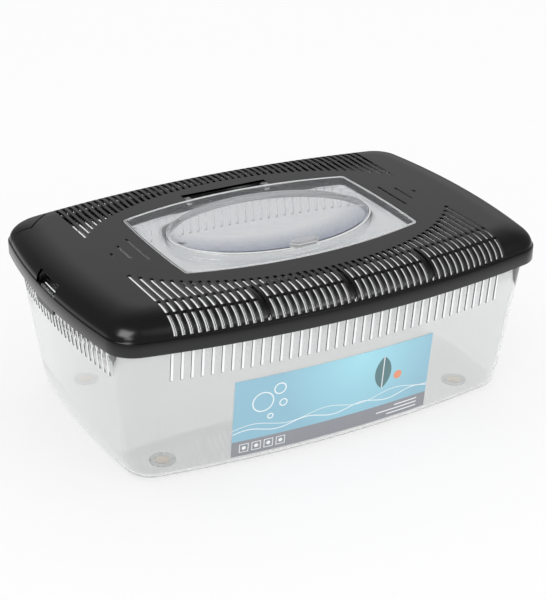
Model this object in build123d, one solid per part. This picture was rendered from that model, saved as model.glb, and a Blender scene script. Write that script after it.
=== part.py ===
"""Flat keeper for small animals: clear tub, black vented lid and clear feeding hatch.

Millimetres. X runs along the long side, -Y is the front and +Z is up. The origin lies on
the ground under the middle of the tub. Every sub-part is written to parts/NODE.step.
"""
from build123d import *

import math
import os
from dataclasses import dataclass

# --- Overall sizes -------------------------------------------------------------------
LID_LENGTH = 460.0
LID_DEPTH = 322.0
LID_FRONT_RADIUS = 954.0      # bow of the front and back, seen from above
LID_END_RADIUS = 712.0        # bow of the two ends
LID_CORNER_RADIUS = 30.0
SKIRT_BOTTOM_Z = 139.5
SKIRT_HEIGHT = 13.0
PLATEAU_Z = 172.3

# --- Tub -----------------------------------------------------------------------------
TUB_WALL = 2.2
TUB_FLOOR = 2.4
TUB_FLOOR_Z = 1.5             # underside of the floor, above the ground
TUB_BASE_LENGTH = 405.4
TUB_BASE_DEPTH = 267.4
TUB_BASE_FRONT_RADIUS = 1050.0
TUB_BASE_END_RADIUS = 1000.0
TUB_CORNER_RADIUS = 28.0
TUB_EDGE_RADIUS = 9.0         # round from the walls into the floor
TUB_RIM_Z = 148.5
TUB_RIM_INSET = 7.3           # wall at the rim, measured in from the lid's outline
RIM_FLANGE_THICKNESS = 2.5
GRIP_RIB_WIDTH = 3.4
GRIP_RIB_HEIGHT = 0.9
GRIP_RIB_BOTTOM_Z = 106.5
GRIP_RIB_END_CUT = 1.1        # corners cut off the lower end of a rib
GRIP_RIB_PITCH = 9.108
GRIP_RIBS_PER_FRONT = 38
GRIP_RIBS_PER_END = 24

# --- Feet ----------------------------------------------------------------------------
FOOT_X = 159.5
FOOT_Y = 88.0
FOOT_DIAMETER = 24.0
FOOT_Z = 0.4                  # underside of the foot, just clear of the ground
PAD_DIAMETER = 14.0
PAD_SOCKET_CLEARANCE = 0.05
PAD_SOCKET_DEPTH = 1.2
PAD_BEVEL = 0.3

# --- Label ---------------------------------------------------------------------------
LABEL_LEFT_X = -110.5
LABEL_RIGHT_X = 95.0
LABEL_BOTTOM_Z = 11.5
LABEL_TOP_Z = 93.5
LABEL_THICKNESS = 0.3
LABEL_GLUE = 0.03             # film off the wall
LABEL_CORNER_RADIUS = 1.5

# --- Lid shell -----------------------------------------------------------------------
LID_WALL = 2.4
LEDGE_WIDTH = 1.2             # step between the skirt and the shoulder
SHOULDER_WIDTH = 31.8
SHOULDER_SECTIONS = 6
INNER_SECTIONS = 4            # the inside of the shell is faceted between these
SHOULDER_CORNER_SHRINK = 0.35
SEAT_GAP = 0.2
SEAT_INSET = 9.6
SKIRT_TO_FLANGE = 0.5

# --- Vent slots ----------------------------------------------------------------------
SLOT_WIDTH = 3.5
SLOT_PITCH = 7.0
SLOTS_PER_SIDE = 49
SLOT_FIELD_LENGTH = 184.0     # half axis of the ellipse on which the slots end
SLOT_FIELD_DEPTH = 116.0
SLOT_FOOT = 1.3               # left standing above the ledge
TIE_INSETS = (20.0, 41.0)     # ties that hold the bars between the slots
TIE_WIDTH = 3.0
TIE_DROP = 0.6                # tops of the ties, below the outer face
TIE_HEIGHT = 1.5
GUSSET_SLOTS = 12             # a gusset stands behind the middle slot and every twelfth
GUSSET_THICKNESS = 2.4
GUSSET_DROP = 1.2
GUSSET_INNER_INSET = 44.0
SIDE_SLOT_WIDTH = 1.6
SIDE_SLOTS = ((137.5, 53.5), (150.8, 33.5), (163.2, 6.5))

# --- Hatch opening and hinge ---------------------------------------------------------
HATCH_LENGTH = 248.4
HATCH_DEPTH = 175.0
HATCH_FRONT_RADIUS = 405.0
HATCH_END_RADIUS = 1080.0
HATCH_CORNER_RADIUS = 5.0
HATCH_CLEARANCE = 0.7
HATCH_WALL = 1.8
HATCH_FLOOR = 1.8
TRAY_DEPTH = 7.6              # plateau down to the underside of the hatch
FRAME_WALL = 2.0
FRAME_SEAT_WIDTH = 3.0
FRAME_SEAT_THICKNESS = 1.6
HINGE_Y = 91.5
HINGE_Z = 169.8               # high enough for the hatch to swing clear of its frame
HINGE_PIN_DIAMETER = 2.4
HINGE_PIN_LENGTH = 3.0
HINGE_PIN_CLEARANCE = 0.08
HINGE_BARREL_DIAMETER = 5.2
HINGE_BARREL_LENGTH = 9.0
HINGE_SIDE_GAP = 0.4
NOTCH_LENGTH = 93.0
NOTCH_BACK_Y = 99.5
NOTCH_FLOOR_Z = 163.6
NOTCH_CHEEK = 4.0
TONGUE_LENGTH = 15.0
TONGUE_DROP = 4.0

# --- Hatch lens and grip -------------------------------------------------------------
LENS_LENGTH = 209.0
LENS_DEPTH = 139.0
LENS_TOP_Z = 174.0
LENS_EDGE_RADIUS = 3.5
LENS_WALL = 1.8
GRIP_LENGTH = 31.0
GRIP_DEPTH = 12.0
GRIP_TOP_Z = 179.0
GRIP_Y = -66.0
GRIP_TIP = 6.0
GRIP_FACET = 2.0
STRAP_WIDTH = 28.0
STRAP_THICKNESS = 0.8

# --- End windows and clips -----------------------------------------------------------
WINDOW_WIDTH = 43.0
WINDOW_BOTTOM = 1.5           # above the ledge
WINDOW_HEIGHT = 9.5
POCKET_WALL = 1.8
POCKET_DEPTH = 10.4
CLIP_GAP = 1.2                # light gap between skirt and clip
CLIP_THICKNESS = 2.0
CLIP_BELOW_SKIRT = 3.5
CLIP_TOP_Z = 150.0
CLIP_TO_FLANGE = 0.8
CLIP_BEAD = 0.5
CLIP_SIDE_GAP = 1.0

# --- Cable knock-out in the back left corner of the lid ------------------------------
KNOCKOUT_INNER = (-180.0, 121.0)
KNOCKOUT_OUTER = (-203.0, 98.0)
KNOCKOUT_END_Y = 117.0          # where the groove runs out over the end
KNOCKOUT_GROOVE_WIDTH = 1.2
KNOCKOUT_GROOVE_DEPTH = 0.8

# --- Derived -------------------------------------------------------------------------
LEDGE_Z = SKIRT_BOTTOM_Z + SKIRT_HEIGHT
SHOULDER_HEIGHT = PLATEAU_Z - LEDGE_Z
HATCH_BOTTOM_Z = PLATEAU_Z - TRAY_DEPTH
FLANGE_INSET = LID_WALL + SKIRT_TO_FLANGE
CLIP_OUTER_INSET = LID_WALL + CLIP_GAP
CLIP_INNER_INSET = CLIP_OUTER_INSET + CLIP_THICKNESS
BIG = 600.0
LOW_UP = (Align.CENTER, Align.CENTER, Align.MIN)


@dataclass(frozen=True)
class Outline:
    """A rectangle seen from above with four bowed sides and rounded corners."""

    half_length: float
    half_depth: float
    front_radius: float
    end_radius: float
    corner_radius: float

    def inset(self, distance, corner_radius=None):
        """The outline moved in by one distance on all sides, its arcs kept concentric."""
        if corner_radius is None:
            corner_radius = max(self.corner_radius - distance, 1.0)
        return Outline(
            self.half_length - distance,
            self.half_depth - distance,
            self.front_radius - distance,
            self.end_radius - distance,
            corner_radius,
        )

    def corner(self):
        """Where the front arc and the right end arc would cross without a round."""
        front_centre = Vector(0, self.front_radius - self.half_depth)
        end_centre = Vector(self.half_length - self.end_radius, 0)
        span = end_centre - front_centre
        gap = span.length
        along = (gap**2 + self.front_radius**2 - self.end_radius**2) / (2 * gap)
        across = math.sqrt(self.front_radius**2 - along**2)
        unit = span.normalized()
        foot = front_centre + unit * along
        side = Vector(-unit.Y, unit.X) * across
        point = foot + side
        if point.Y > 0:
            point = foot - side
        return abs(point.X), abs(point.Y)

    def face(self, z):
        """The outline as a flat face at height z."""
        x, y = self.corner()
        with BuildSketch(Plane.XY.offset(z)) as sketch:
            with BuildLine():
                ThreePointArc((-x, -y), (0, -self.half_depth), (x, -y))
                ThreePointArc((x, -y), (self.half_length, 0), (x, y))
                ThreePointArc((x, y), (0, self.half_depth), (-x, y))
                ThreePointArc((-x, y), (-self.half_length, 0), (-x, -y))
            make_face()
            fillet(sketch.vertices(), self.corner_radius)
        return sketch.sketch.face()

    def prism(self, z_low, z_high):
        """The outline drawn up from z_low to z_high."""
        return extrude(self.face(z_low), z_high - z_low, dir=(0, 0, 1))

    def front_y(self, x):
        """How far the front (and back) side lies from the long axis at x."""
        drop = self.front_radius - math.sqrt(self.front_radius**2 - x**2)
        return self.half_depth - drop

    def end_x(self, y):
        """How far the end side lies from the short axis at y."""
        drop = self.end_radius - math.sqrt(self.end_radius**2 - y**2)
        return self.half_length - drop


LID_OUTLINE = Outline(
    LID_LENGTH / 2,
    LID_DEPTH / 2,
    LID_FRONT_RADIUS,
    LID_END_RADIUS,
    LID_CORNER_RADIUS,
)
TUB_BASE_OUTLINE = Outline(
    TUB_BASE_LENGTH / 2,
    TUB_BASE_DEPTH / 2,
    TUB_BASE_FRONT_RADIUS,
    TUB_BASE_END_RADIUS,
    TUB_CORNER_RADIUS,
)
TUB_RIM_OUTLINE = LID_OUTLINE.inset(TUB_RIM_INSET, TUB_CORNER_RADIUS)
HATCH_OUTLINE = Outline(
    HATCH_LENGTH / 2,
    HATCH_DEPTH / 2,
    HATCH_FRONT_RADIUS,
    HATCH_END_RADIUS,
    HATCH_CORNER_RADIUS,
)


def block(x_low, x_high, y_low, y_high, z_low, z_high):
    """A box given by its faces."""
    size = (x_high - x_low, y_high - y_low, z_high - z_low)
    centre = ((x_low + x_high) / 2, (y_low + y_high) / 2, (z_low + z_high) / 2)
    return Pos(*centre) * Box(*size)


def steps(count, pitch):
    """Places of count items at one pitch, centred on zero."""
    return [(index - (count - 1) / 2) * pitch for index in range(count)]


# --- Tub -----------------------------------------------------------------------------
def tub_outline(z, grow):
    """The outside of the tub wall at height z, moved out by grow."""
    share = (z - TUB_FLOOR_Z) / (TUB_RIM_Z - TUB_FLOOR_Z)

    def between(name):
        low = getattr(TUB_BASE_OUTLINE, name)
        high = getattr(TUB_RIM_OUTLINE, name)
        return low + (high - low) * share

    return Outline(
        between("half_length") + grow,
        between("half_depth") + grow,
        between("front_radius") + grow,
        between("end_radius") + grow,
        TUB_CORNER_RADIUS + grow,
    )


def tub_form(grow, z_low, z_high, edge_radius=0.0):
    """The drafted body of the tub as a solid, optionally with a rounded lower edge."""
    form = loft([tub_outline(z_low, grow).face(z_low), tub_outline(z_high, grow).face(z_high)],
                ruled=True)
    if edge_radius > 0:
        form = fillet(form.edges().group_by(Axis.Z)[0], edge_radius)
    return form


def wall_plane(z, x=None, y=None):
    """A plane on the outside of the wall, its Z outwards and its Y up along the draft.

    Give x for a place on the front wall, or y for a place on the right end wall.
    """
    low = tub_outline(TUB_FLOOR_Z, 0.0)
    high = tub_outline(TUB_RIM_Z, 0.0)
    here = tub_outline(z, 0.0)
    rise = TUB_RIM_Z - TUB_FLOOR_Z
    if y is None:
        lean = math.atan2(high.front_y(x) - low.front_y(x), rise)
        turn = math.asin(x / here.front_radius)
        return Plane((x, -here.front_y(x), z)) * Rot(0, 0, math.degrees(turn)) * Rot(
            90 + math.degrees(lean), 0, 0
        )
    lean = math.atan2(high.end_x(y) - low.end_x(y), rise)
    turn = math.asin(y / here.end_radius)
    return Plane((here.end_x(y), y, z)) * Rot(0, 0, 90 + math.degrees(turn)) * Rot(
        90 + math.degrees(lean), 0, 0
    )


def grip_ribs():
    """Short upright ribs under the rim on all four walls."""
    flange_low = TUB_RIM_Z - RIM_FLANGE_THICKNESS
    length = flange_low - GRIP_RIB_BOTTOM_Z + RIM_FLANGE_THICKNESS / 2
    profile = Rectangle(GRIP_RIB_WIDTH, length, align=(Align.CENTER, Align.MIN))
    profile = chamfer(profile.vertices().group_by(Axis.Y)[0], GRIP_RIB_END_CUT)
    rib = Pos(0, 0, -TUB_WALL / 2) * extrude(profile, TUB_WALL / 2 + GRIP_RIB_HEIGHT)
    ribs = []
    for x in steps(GRIP_RIBS_PER_FRONT, GRIP_RIB_PITCH):
        front = wall_plane(GRIP_RIB_BOTTOM_Z, x=x) * rib
        ribs += [front, mirror(front, about=Plane.XZ)]
    for y in steps(GRIP_RIBS_PER_END, GRIP_RIB_PITCH):
        right = wall_plane(GRIP_RIB_BOTTOM_Z, y=y) * rib
        ribs += [right, mirror(right, about=Plane.YZ)]
    return ribs


def make_tub():
    """The clear tub with its rim, grip ribs and four feet."""
    tub = tub_form(0.0, TUB_FLOOR_Z, TUB_RIM_Z, TUB_EDGE_RADIUS)
    flange_low = TUB_RIM_Z - RIM_FLANGE_THICKNESS
    tub += LID_OUTLINE.inset(FLANGE_INSET).prism(flange_low, TUB_RIM_Z)
    tub -= tub_form(
        -TUB_WALL, TUB_FLOOR_Z + TUB_FLOOR, TUB_RIM_Z + 1, TUB_EDGE_RADIUS - TUB_WALL
    )
    half_notch = WINDOW_WIDTH / 2 + POCKET_WALL + CLIP_SIDE_GAP
    notch_x = LID_LENGTH / 2 - CLIP_INNER_INSET - CLIP_TO_FLANGE
    for side in (-1, 1):
        x_low, x_high = sorted((side * notch_x, side * LID_LENGTH))
        tub -= block(x_low, x_high, -half_notch, half_notch, flange_low - 1, TUB_RIM_Z + 1)
    boss = Cylinder(FOOT_DIAMETER / 2, TUB_FLOOR_Z + TUB_FLOOR / 2 - FOOT_Z, align=LOW_UP)
    socket = Cylinder(PAD_DIAMETER / 2 + PAD_SOCKET_CLEARANCE, PAD_SOCKET_DEPTH, align=LOW_UP)
    for x in (-FOOT_X, FOOT_X):
        for y in (-FOOT_Y, FOOT_Y):
            tub += Pos(x, y, FOOT_Z) * boss
            tub -= Pos(x, y, FOOT_Z) * socket
    return tub + grip_ribs()


def make_pad(x, y):
    """One round anti-slip pad, bevelled where it meets the ground."""
    pad = Cylinder(PAD_DIAMETER / 2, FOOT_Z + PAD_SOCKET_DEPTH, align=LOW_UP)
    pad = chamfer(pad.edges().group_by(Axis.Z)[0], PAD_BEVEL)
    return Pos(x, y, 0) * pad


def make_label():
    """The film on the front wall, curved with it."""
    skin = tub_form(LABEL_GLUE + LABEL_THICKNESS, TUB_FLOOR_Z, TUB_RIM_Z)
    skin -= tub_form(LABEL_GLUE, TUB_FLOOR_Z, TUB_RIM_Z)
    width = LABEL_RIGHT_X - LABEL_LEFT_X
    height = LABEL_TOP_Z - LABEL_BOTTOM_Z
    centre = ((LABEL_LEFT_X + LABEL_RIGHT_X) / 2, 0, (LABEL_TOP_Z + LABEL_BOTTOM_Z) / 2)
    sheet = RectangleRounded(width, height, LABEL_CORNER_RADIUS)
    window = Plane(centre, x_dir=(1, 0, 0), z_dir=(0, -1, 0)) * sheet
    return skin & extrude(window, LID_DEPTH)


# --- Lid -----------------------------------------------------------------------------
def shoulder_form(depth, count=SHOULDER_SECTIONS, ruled=False):
    """The shoulder and plateau as a solid, moved in from the outer face by depth."""
    sections = []
    for index in range(count):
        angle = math.pi / 2 * index / (count - 1)
        distance = LEDGE_WIDTH + SHOULDER_WIDTH * (1 - math.cos(angle)) + depth
        height = LEDGE_Z + SHOULDER_HEIGHT * math.sin(angle)
        if index > 0:
            height -= depth * math.sin(angle)
        corner = LID_CORNER_RADIUS - SHOULDER_CORNER_SHRINK * distance
        sections.append(LID_OUTLINE.inset(distance, corner).face(height))
    return loft(sections, ruled=ruled)


def ties(x, inner):
    """Where the flat ties stay standing in the front and back slots at x, out from inner."""
    half = SLOT_WIDTH
    front = []
    for inset in TIE_INSETS:
        outer = LID_OUTLINE.front_y(x) - inset
        if outer - TIE_WIDTH - inner < SLOT_WIDTH:
            continue  # the slot ends at this tie
        share = max(1 - (inset - LEDGE_WIDTH) / SHOULDER_WIDTH, 0)
        top = LEDGE_Z + SHOULDER_HEIGHT * math.sqrt(1 - share**2) - TIE_DROP
        front.append(block(x - half, x + half, -outer, TIE_WIDTH - outer, top - TIE_HEIGHT, top))
    return front, [mirror(tie, about=Plane.XZ) for tie in front]


def slot_cutters():
    """Upright blades that open the vent slots at front and back but spare the ties."""
    blades = []
    for x in steps(SLOTS_PER_SIDE, SLOT_PITCH):
        reach = math.sqrt(1 - (x / SLOT_FIELD_LENGTH) ** 2)
        inner = SLOT_FIELD_DEPTH * reach
        outer = LID_OUTLINE.front_y(x) + 1
        low = LEDGE_Z + SLOT_FOOT
        half = SLOT_WIDTH / 2
        back_inner = inner
        if abs(x) < NOTCH_LENGTH / 2 + SLOT_PITCH / 2:
            back_inner = max(inner, NOTCH_BACK_Y + FRAME_WALL + SLOT_PITCH)
        front_ties, back_ties = ties(x, inner)
        front = block(x - half, x + half, -outer, -inner, low, PLATEAU_Z + 1)
        back = block(x - half, x + half, back_inner, outer, low, PLATEAU_Z + 1)
        blades.append(front - front_ties)
        blades.append(back - back_ties)
    return blades


def gussets():
    """Upright plates behind the middle slot and every twelfth slot each way."""
    core = shoulder_form(GUSSET_DROP)
    plates = []
    for x in (-GUSSET_SLOTS * SLOT_PITCH, 0.0, GUSSET_SLOTS * SLOT_PITCH):
        half = GUSSET_THICKNESS / 2
        for side in (-1, 1):
            inner = LID_DEPTH / 2 - GUSSET_INNER_INSET
            if side > 0 and abs(x) < NOTCH_LENGTH / 2:
                inner = NOTCH_BACK_Y
            y_low, y_high = sorted((side * inner, side * LID_DEPTH))
            plates.append(core & block(x - half, x + half, y_low, y_high, LEDGE_Z, PLATEAU_Z))
    return plates


def add_hatch_frame(lid):
    """The frame that holds the hatch, with its seat, hinge notch and pin holes."""
    opening = HATCH_OUTLINE.inset(-HATCH_CLEARANCE, HATCH_CORNER_RADIUS + HATCH_CLEARANCE)
    seat_top = HATCH_BOTTOM_Z - SEAT_GAP
    frame_low = seat_top - FRAME_SEAT_THICKNESS
    frame = opening.inset(-FRAME_WALL, HATCH_CORNER_RADIUS + FRAME_WALL)
    half_notch = NOTCH_LENGTH / 2
    lid += frame.prism(frame_low, PLATEAU_Z)
    lid += block(
        -half_notch - NOTCH_CHEEK, half_notch + NOTCH_CHEEK,
        HATCH_OUTLINE.front_y(half_notch) - FRAME_SEAT_WIDTH, NOTCH_BACK_Y + FRAME_WALL,
        frame_low, PLATEAU_Z,
    )
    tongue_y = HATCH_OUTLINE.half_depth - FRAME_SEAT_WIDTH
    tongue = Ellipse(TONGUE_LENGTH / 2, TONGUE_DROP)
    tongue = Plane((0, tongue_y + 1, frame_low), x_dir=(1, 0, 0), z_dir=(0, 1, 0)) * tongue
    lid += extrude(tongue, FRAME_WALL) & block(-BIG, BIG, 0, BIG, 0, seat_top)
    lid -= opening.prism(seat_top, PLATEAU_Z + 1)
    lid -= opening.inset(FRAME_SEAT_WIDTH, HATCH_CORNER_RADIUS).prism(
        frame_low - 1, PLATEAU_Z + 1
    )
    lid -= block(-half_notch, half_notch, 0, NOTCH_BACK_Y, NOTCH_FLOOR_Z, PLATEAU_Z + 1)
    pin_hole = Rot(0, 90, 0) * Cylinder(
        HINGE_PIN_DIAMETER / 2 + HINGE_PIN_CLEARANCE,
        NOTCH_LENGTH + 2 * HINGE_PIN_LENGTH + 2 * HINGE_SIDE_GAP,
    )
    return lid - Pos(0, HINGE_Y, HINGE_Z) * pin_hole


def add_end_window(lid, side):
    """A window in the shoulder at one end, closed inside, with a clip below the skirt."""
    half = WINDOW_WIDTH / 2
    wide = half + POCKET_WALL
    seat_z = TUB_RIM_Z + SEAT_GAP
    low = LEDGE_Z + WINDOW_BOTTOM
    skirt_inner_x = LID_LENGTH / 2 - LID_WALL
    back_x = LID_LENGTH / 2 - POCKET_DEPTH
    clip_outer = LID_LENGTH / 2 - CLIP_OUTER_INSET
    clip_inner = LID_LENGTH / 2 - CLIP_INNER_INSET
    # Everything is laid out at the right end and mirrored for the left one.
    wall = block(back_x - POCKET_WALL, skirt_inner_x, -wide, wide, seat_z, PLATEAU_Z)
    wall -= block(back_x, skirt_inner_x, -half, half, seat_z - 1, PLATEAU_Z)
    wall &= LID_OUTLINE.inset(LID_WALL / 2).prism(seat_z, LEDGE_Z) + shoulder_form(LID_WALL / 2)
    window = block(back_x, LID_LENGTH, -half, half, low, low + WINDOW_HEIGHT)
    window += block(back_x, skirt_inner_x, -half, half, seat_z - 1, low)
    clip_low = SKIRT_BOTTOM_Z - CLIP_BELOW_SKIRT
    clip = block(clip_inner, clip_outer, -half, half, clip_low, CLIP_TOP_Z)
    bead_z = TUB_RIM_Z - RIM_FLANGE_THICKNESS - 2 * CLIP_BEAD
    clip += Pos(clip_inner, 0, bead_z) * Rot(90, 0, 0) * Cylinder(CLIP_BEAD, WINDOW_WIDTH)
    cheek_low = SKIRT_BOTTOM_Z + CLIP_BELOW_SKIRT
    for hand in (-1, 1):
        y_low, y_high = sorted((hand * (half - POCKET_WALL / 2), hand * wide))
        clip += block(clip_inner, skirt_inner_x + LID_WALL / 2, y_low, y_high, cheek_low, LEDGE_Z)
    if side < 0:
        window = mirror(window, about=Plane.YZ)
        wall = mirror(wall, about=Plane.YZ)
        clip = mirror(clip, about=Plane.YZ)
    return lid - window + wall + clip


def knockout_grooves():
    """Blades for the groove round the cable knock-out in the back left corner."""
    inner = Vector(*KNOCKOUT_INNER)
    outer = Vector(*KNOCKOUT_OUTER)
    ends = (Vector(inner.X, LID_DEPTH / 2), inner, outer, Vector(-LID_LENGTH / 2, KNOCKOUT_END_Y))
    blades = []
    for start, stop in zip(ends[:-1], ends[1:]):
        run = stop - start
        middle = (start + stop) / 2
        turn = math.degrees(math.atan2(run.Y, run.X))
        blade = Box(run.length + KNOCKOUT_GROOVE_WIDTH, KNOCKOUT_GROOVE_WIDTH, PLATEAU_Z)
        blades.append(Pos(middle.X, middle.Y, PLATEAU_Z) * Rot(0, 0, turn) * blade)
    return blades


def make_lid():
    """The black lid: shell, vent field, hatch frame, hinge notch and end clips."""
    seat_z = TUB_RIM_Z + SEAT_GAP
    lid = shoulder_form(0.0) + LID_OUTLINE.prism(SKIRT_BOTTOM_Z, LEDGE_Z)
    lid -= LID_OUTLINE.inset(LID_WALL).prism(SKIRT_BOTTOM_Z - 1, seat_z)
    lid -= LID_OUTLINE.inset(SEAT_INSET).prism(seat_z - 1, LEDGE_Z + 0.01)
    lid -= shoulder_form(LID_WALL, INNER_SECTIONS, ruled=True)
    lid = add_hatch_frame(lid)
    lid = add_end_window(lid, -1)
    lid = add_end_window(lid, 1)
    side_slots = []
    for x, length in SIDE_SLOTS:
        for side in (-1, 1):
            slot = SlotOverall(length, SIDE_SLOT_WIDTH, rotation=90)
            place = Plane((side * x, 0, PLATEAU_Z - 2 * LID_WALL))
            side_slots.append(extrude(place * slot, 3 * LID_WALL))
    grooves = shoulder_form(0.0) - shoulder_form(KNOCKOUT_GROOVE_DEPTH)
    grooves &= Compound(knockout_grooves())
    lid -= side_slots + list(grooves.solids()) + slot_cutters()
    return lid + gussets()


# --- Hatch ---------------------------------------------------------------------------
def make_hatch():
    """The clear hatch: tray, raised oval lens, finger grip, strap and hinge pins."""
    floor_top = HATCH_BOTTOM_Z + HATCH_FLOOR
    tray = HATCH_OUTLINE.prism(HATCH_BOTTOM_Z, PLATEAU_Z)
    tray -= HATCH_OUTLINE.inset(HATCH_WALL).prism(floor_top, PLATEAU_Z + 1)
    lens_height = LENS_TOP_Z - HATCH_BOTTOM_Z
    low = Pos(0, 0, HATCH_BOTTOM_Z)
    lens = low * extrude(Ellipse(LENS_LENGTH / 2, LENS_DEPTH / 2), lens_height)
    lens = fillet(lens.edges().group_by(Axis.Z)[-1], LENS_EDGE_RADIUS)
    inner = Ellipse(LENS_LENGTH / 2 - LENS_WALL, LENS_DEPTH / 2 - LENS_WALL)
    hollow = low * extrude(inner, lens_height - LENS_WALL)
    hollow = chamfer(hollow.edges().group_by(Axis.Z)[-1], LENS_EDGE_RADIUS - LENS_WALL)
    tray += lens
    tray -= hollow
    # Finger grip: a long hexagon with bevelled top.
    half = GRIP_LENGTH / 2
    deep = GRIP_DEPTH / 2
    outline = Polyline(
        (-half, 0), (-half + GRIP_TIP, -deep), (half - GRIP_TIP, -deep),
        (half, 0), (half - GRIP_TIP, deep), (-half + GRIP_TIP, deep), close=True,
    )
    grip_low = LENS_TOP_Z - LENS_WALL
    grip = extrude(make_face(outline), GRIP_TOP_Z - grip_low)
    grip = chamfer(grip.edges().group_by(Axis.Z)[-1], GRIP_FACET)
    tray += Pos(0, GRIP_Y, grip_low) * grip
    # Strap from the lens down to the front wall of the tray.
    front = HATCH_OUTLINE.front_y(0) - HATCH_WALL / 2
    tray += block(
        -STRAP_WIDTH / 2, STRAP_WIDTH / 2, -front, -LENS_DEPTH / 2 + LENS_WALL / 2,
        HATCH_BOTTOM_Z, floor_top + STRAP_THICKNESS,
    )
    # Two hinge barrels with pins.
    for side in (-1, 1):
        end = NOTCH_LENGTH / 2 - HINGE_SIDE_GAP
        start = end - HINGE_BARREL_LENGTH
        middle = side * (start + end) / 2
        turn = Rot(0, 90, 0)
        barrel = turn * Cylinder(HINGE_BARREL_DIAMETER / 2, HINGE_BARREL_LENGTH)
        tray += Pos(middle, HINGE_Y, HINGE_Z) * barrel
        x_low, x_high = sorted((side * start, side * end))
        arm_front = HATCH_OUTLINE.front_y(end) - HATCH_WALL / 2
        tray += block(
            x_low, x_high, arm_front, HINGE_Y,
            HINGE_Z - HINGE_BARREL_DIAMETER / 2, PLATEAU_Z,
        )
        pin = turn * Cylinder(HINGE_PIN_DIAMETER / 2, HINGE_PIN_LENGTH + 1)
        tray += Pos(side * (end + (HINGE_PIN_LENGTH - 1) / 2), HINGE_Y, HINGE_Z) * pin
    return tray


def main():
    """Build every sub-part and write it."""
    os.makedirs("parts", exist_ok=True)
    parts = {
        "tub": make_tub(),
        "lid": make_lid(),
        "hatch": make_hatch(),
        "label": make_label(),
        "foot_pad_front_left": make_pad(-FOOT_X, -FOOT_Y),
        "foot_pad_front_right": make_pad(FOOT_X, -FOOT_Y),
        "foot_pad_back_left": make_pad(-FOOT_X, FOOT_Y),
        "foot_pad_back_right": make_pad(FOOT_X, FOOT_Y),
    }
    for name, shape in parts.items():
        export_step(shape, f"parts/{name}.step")


main()
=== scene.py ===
"""Blender looks of a flat pet keeper: clear tub, black vented lid and clear hatch.

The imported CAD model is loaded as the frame. The moulded pieces are built again here as
fine meshes at the same places and sizes, dressed with procedural materials, and put back
on the CAD bodies. Metres throughout, in the CAD frame: X along the long side, -Y to the
front, +Z up.
"""
import logging
import math
from dataclasses import dataclass, field
from enum import Enum
from typing import Callable, Iterable, Sequence

import bmesh
import bpy
import numpy as np
from mathutils import Matrix, Vector


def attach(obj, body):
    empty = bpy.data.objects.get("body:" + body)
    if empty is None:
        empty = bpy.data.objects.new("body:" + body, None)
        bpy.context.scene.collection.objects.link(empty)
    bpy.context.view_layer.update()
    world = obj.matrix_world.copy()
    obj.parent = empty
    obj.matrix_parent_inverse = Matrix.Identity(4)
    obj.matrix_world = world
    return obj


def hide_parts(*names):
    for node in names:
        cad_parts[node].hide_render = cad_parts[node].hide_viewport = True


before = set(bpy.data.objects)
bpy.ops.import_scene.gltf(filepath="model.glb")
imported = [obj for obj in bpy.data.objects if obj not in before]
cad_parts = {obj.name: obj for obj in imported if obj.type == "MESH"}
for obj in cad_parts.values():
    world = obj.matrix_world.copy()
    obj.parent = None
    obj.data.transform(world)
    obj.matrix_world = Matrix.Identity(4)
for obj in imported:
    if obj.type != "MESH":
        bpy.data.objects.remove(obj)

logging.basicConfig(level=logging.INFO, format="%(message)s")
LOG = logging.getLogger("keeper")
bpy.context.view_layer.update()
MM = 0.001


# --------------------------------------------------------------------------------------
# Outlines seen from above
# --------------------------------------------------------------------------------------
@dataclass(frozen=True)
class BowedOutline:
    """A rectangle with four bowed sides and rounded corners, seen from above."""

    half_length: float
    half_depth: float
    front_radius: float
    end_radius: float
    corner_radius: float

    def inset(self, distance: float, corner_radius: float | None = None) -> "BowedOutline":
        """Move all four sides in, their arcs kept concentric.

        Args:
            distance: How far the sides move inwards.
            corner_radius: Radius of the new corners; the old one less distance if None.

        Returns:
            The new outline.
        """
        if corner_radius is None:
            corner_radius = max(self.corner_radius - distance, 0.5 * MM)
        return BowedOutline(
            self.half_length - distance,
            self.half_depth - distance,
            self.front_radius - distance,
            self.end_radius - distance,
            corner_radius,
        )

    def blend(self, other: "BowedOutline", share: float) -> "BowedOutline":
        """Return the outline that lies a share of the way to another one."""
        names = ("half_length", "half_depth", "front_radius", "end_radius", "corner_radius")
        return BowedOutline(
            *(getattr(self, n) * (1 - share) + getattr(other, n) * share for n in names)
        )

    def corner_arc(self) -> tuple[Vector, Vector, Vector]:
        """Return centre, front tangent point and end tangent point of the front right corner."""
        front = Vector((0.0, self.front_radius - self.half_depth))
        end = Vector((self.half_length - self.end_radius, 0.0))
        reach_front = self.front_radius - self.corner_radius
        reach_end = self.end_radius - self.corner_radius
        gap = end - front
        span = gap.length
        along = (span**2 + reach_front**2 - reach_end**2) / (2 * span)
        across = math.sqrt(max(reach_front**2 - along**2, 0.0))
        unit = gap / span
        side = Vector((-unit.y, unit.x))
        centre = front + unit * along + side * across
        if centre.y > 0:
            centre = front + unit * along - side * across
        touch_front = front + (centre - front).normalized() * self.front_radius
        touch_end = end + (centre - end).normalized() * self.end_radius
        return centre, touch_front, touch_end

    def front_y(self, x: float) -> float:
        """Return how far the front side lies from the long axis at x."""
        return self.half_depth - (
            self.front_radius - math.sqrt(self.front_radius**2 - x**2)
        )

    def end_x(self, y: float) -> float:
        """Return how far the end side lies from the short axis at y."""
        return self.half_length - (self.end_radius - math.sqrt(self.end_radius**2 - y**2))

    def front_normal(self, x: float) -> Vector:
        """Return the outward direction of the front side at x."""
        return Vector((x, -math.sqrt(self.front_radius**2 - x**2))) / self.front_radius

    def end_normal(self, y: float) -> Vector:
        """Return the outward direction of the right end side at y."""
        return Vector((math.sqrt(self.end_radius**2 - y**2), y)) / self.end_radius


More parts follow.
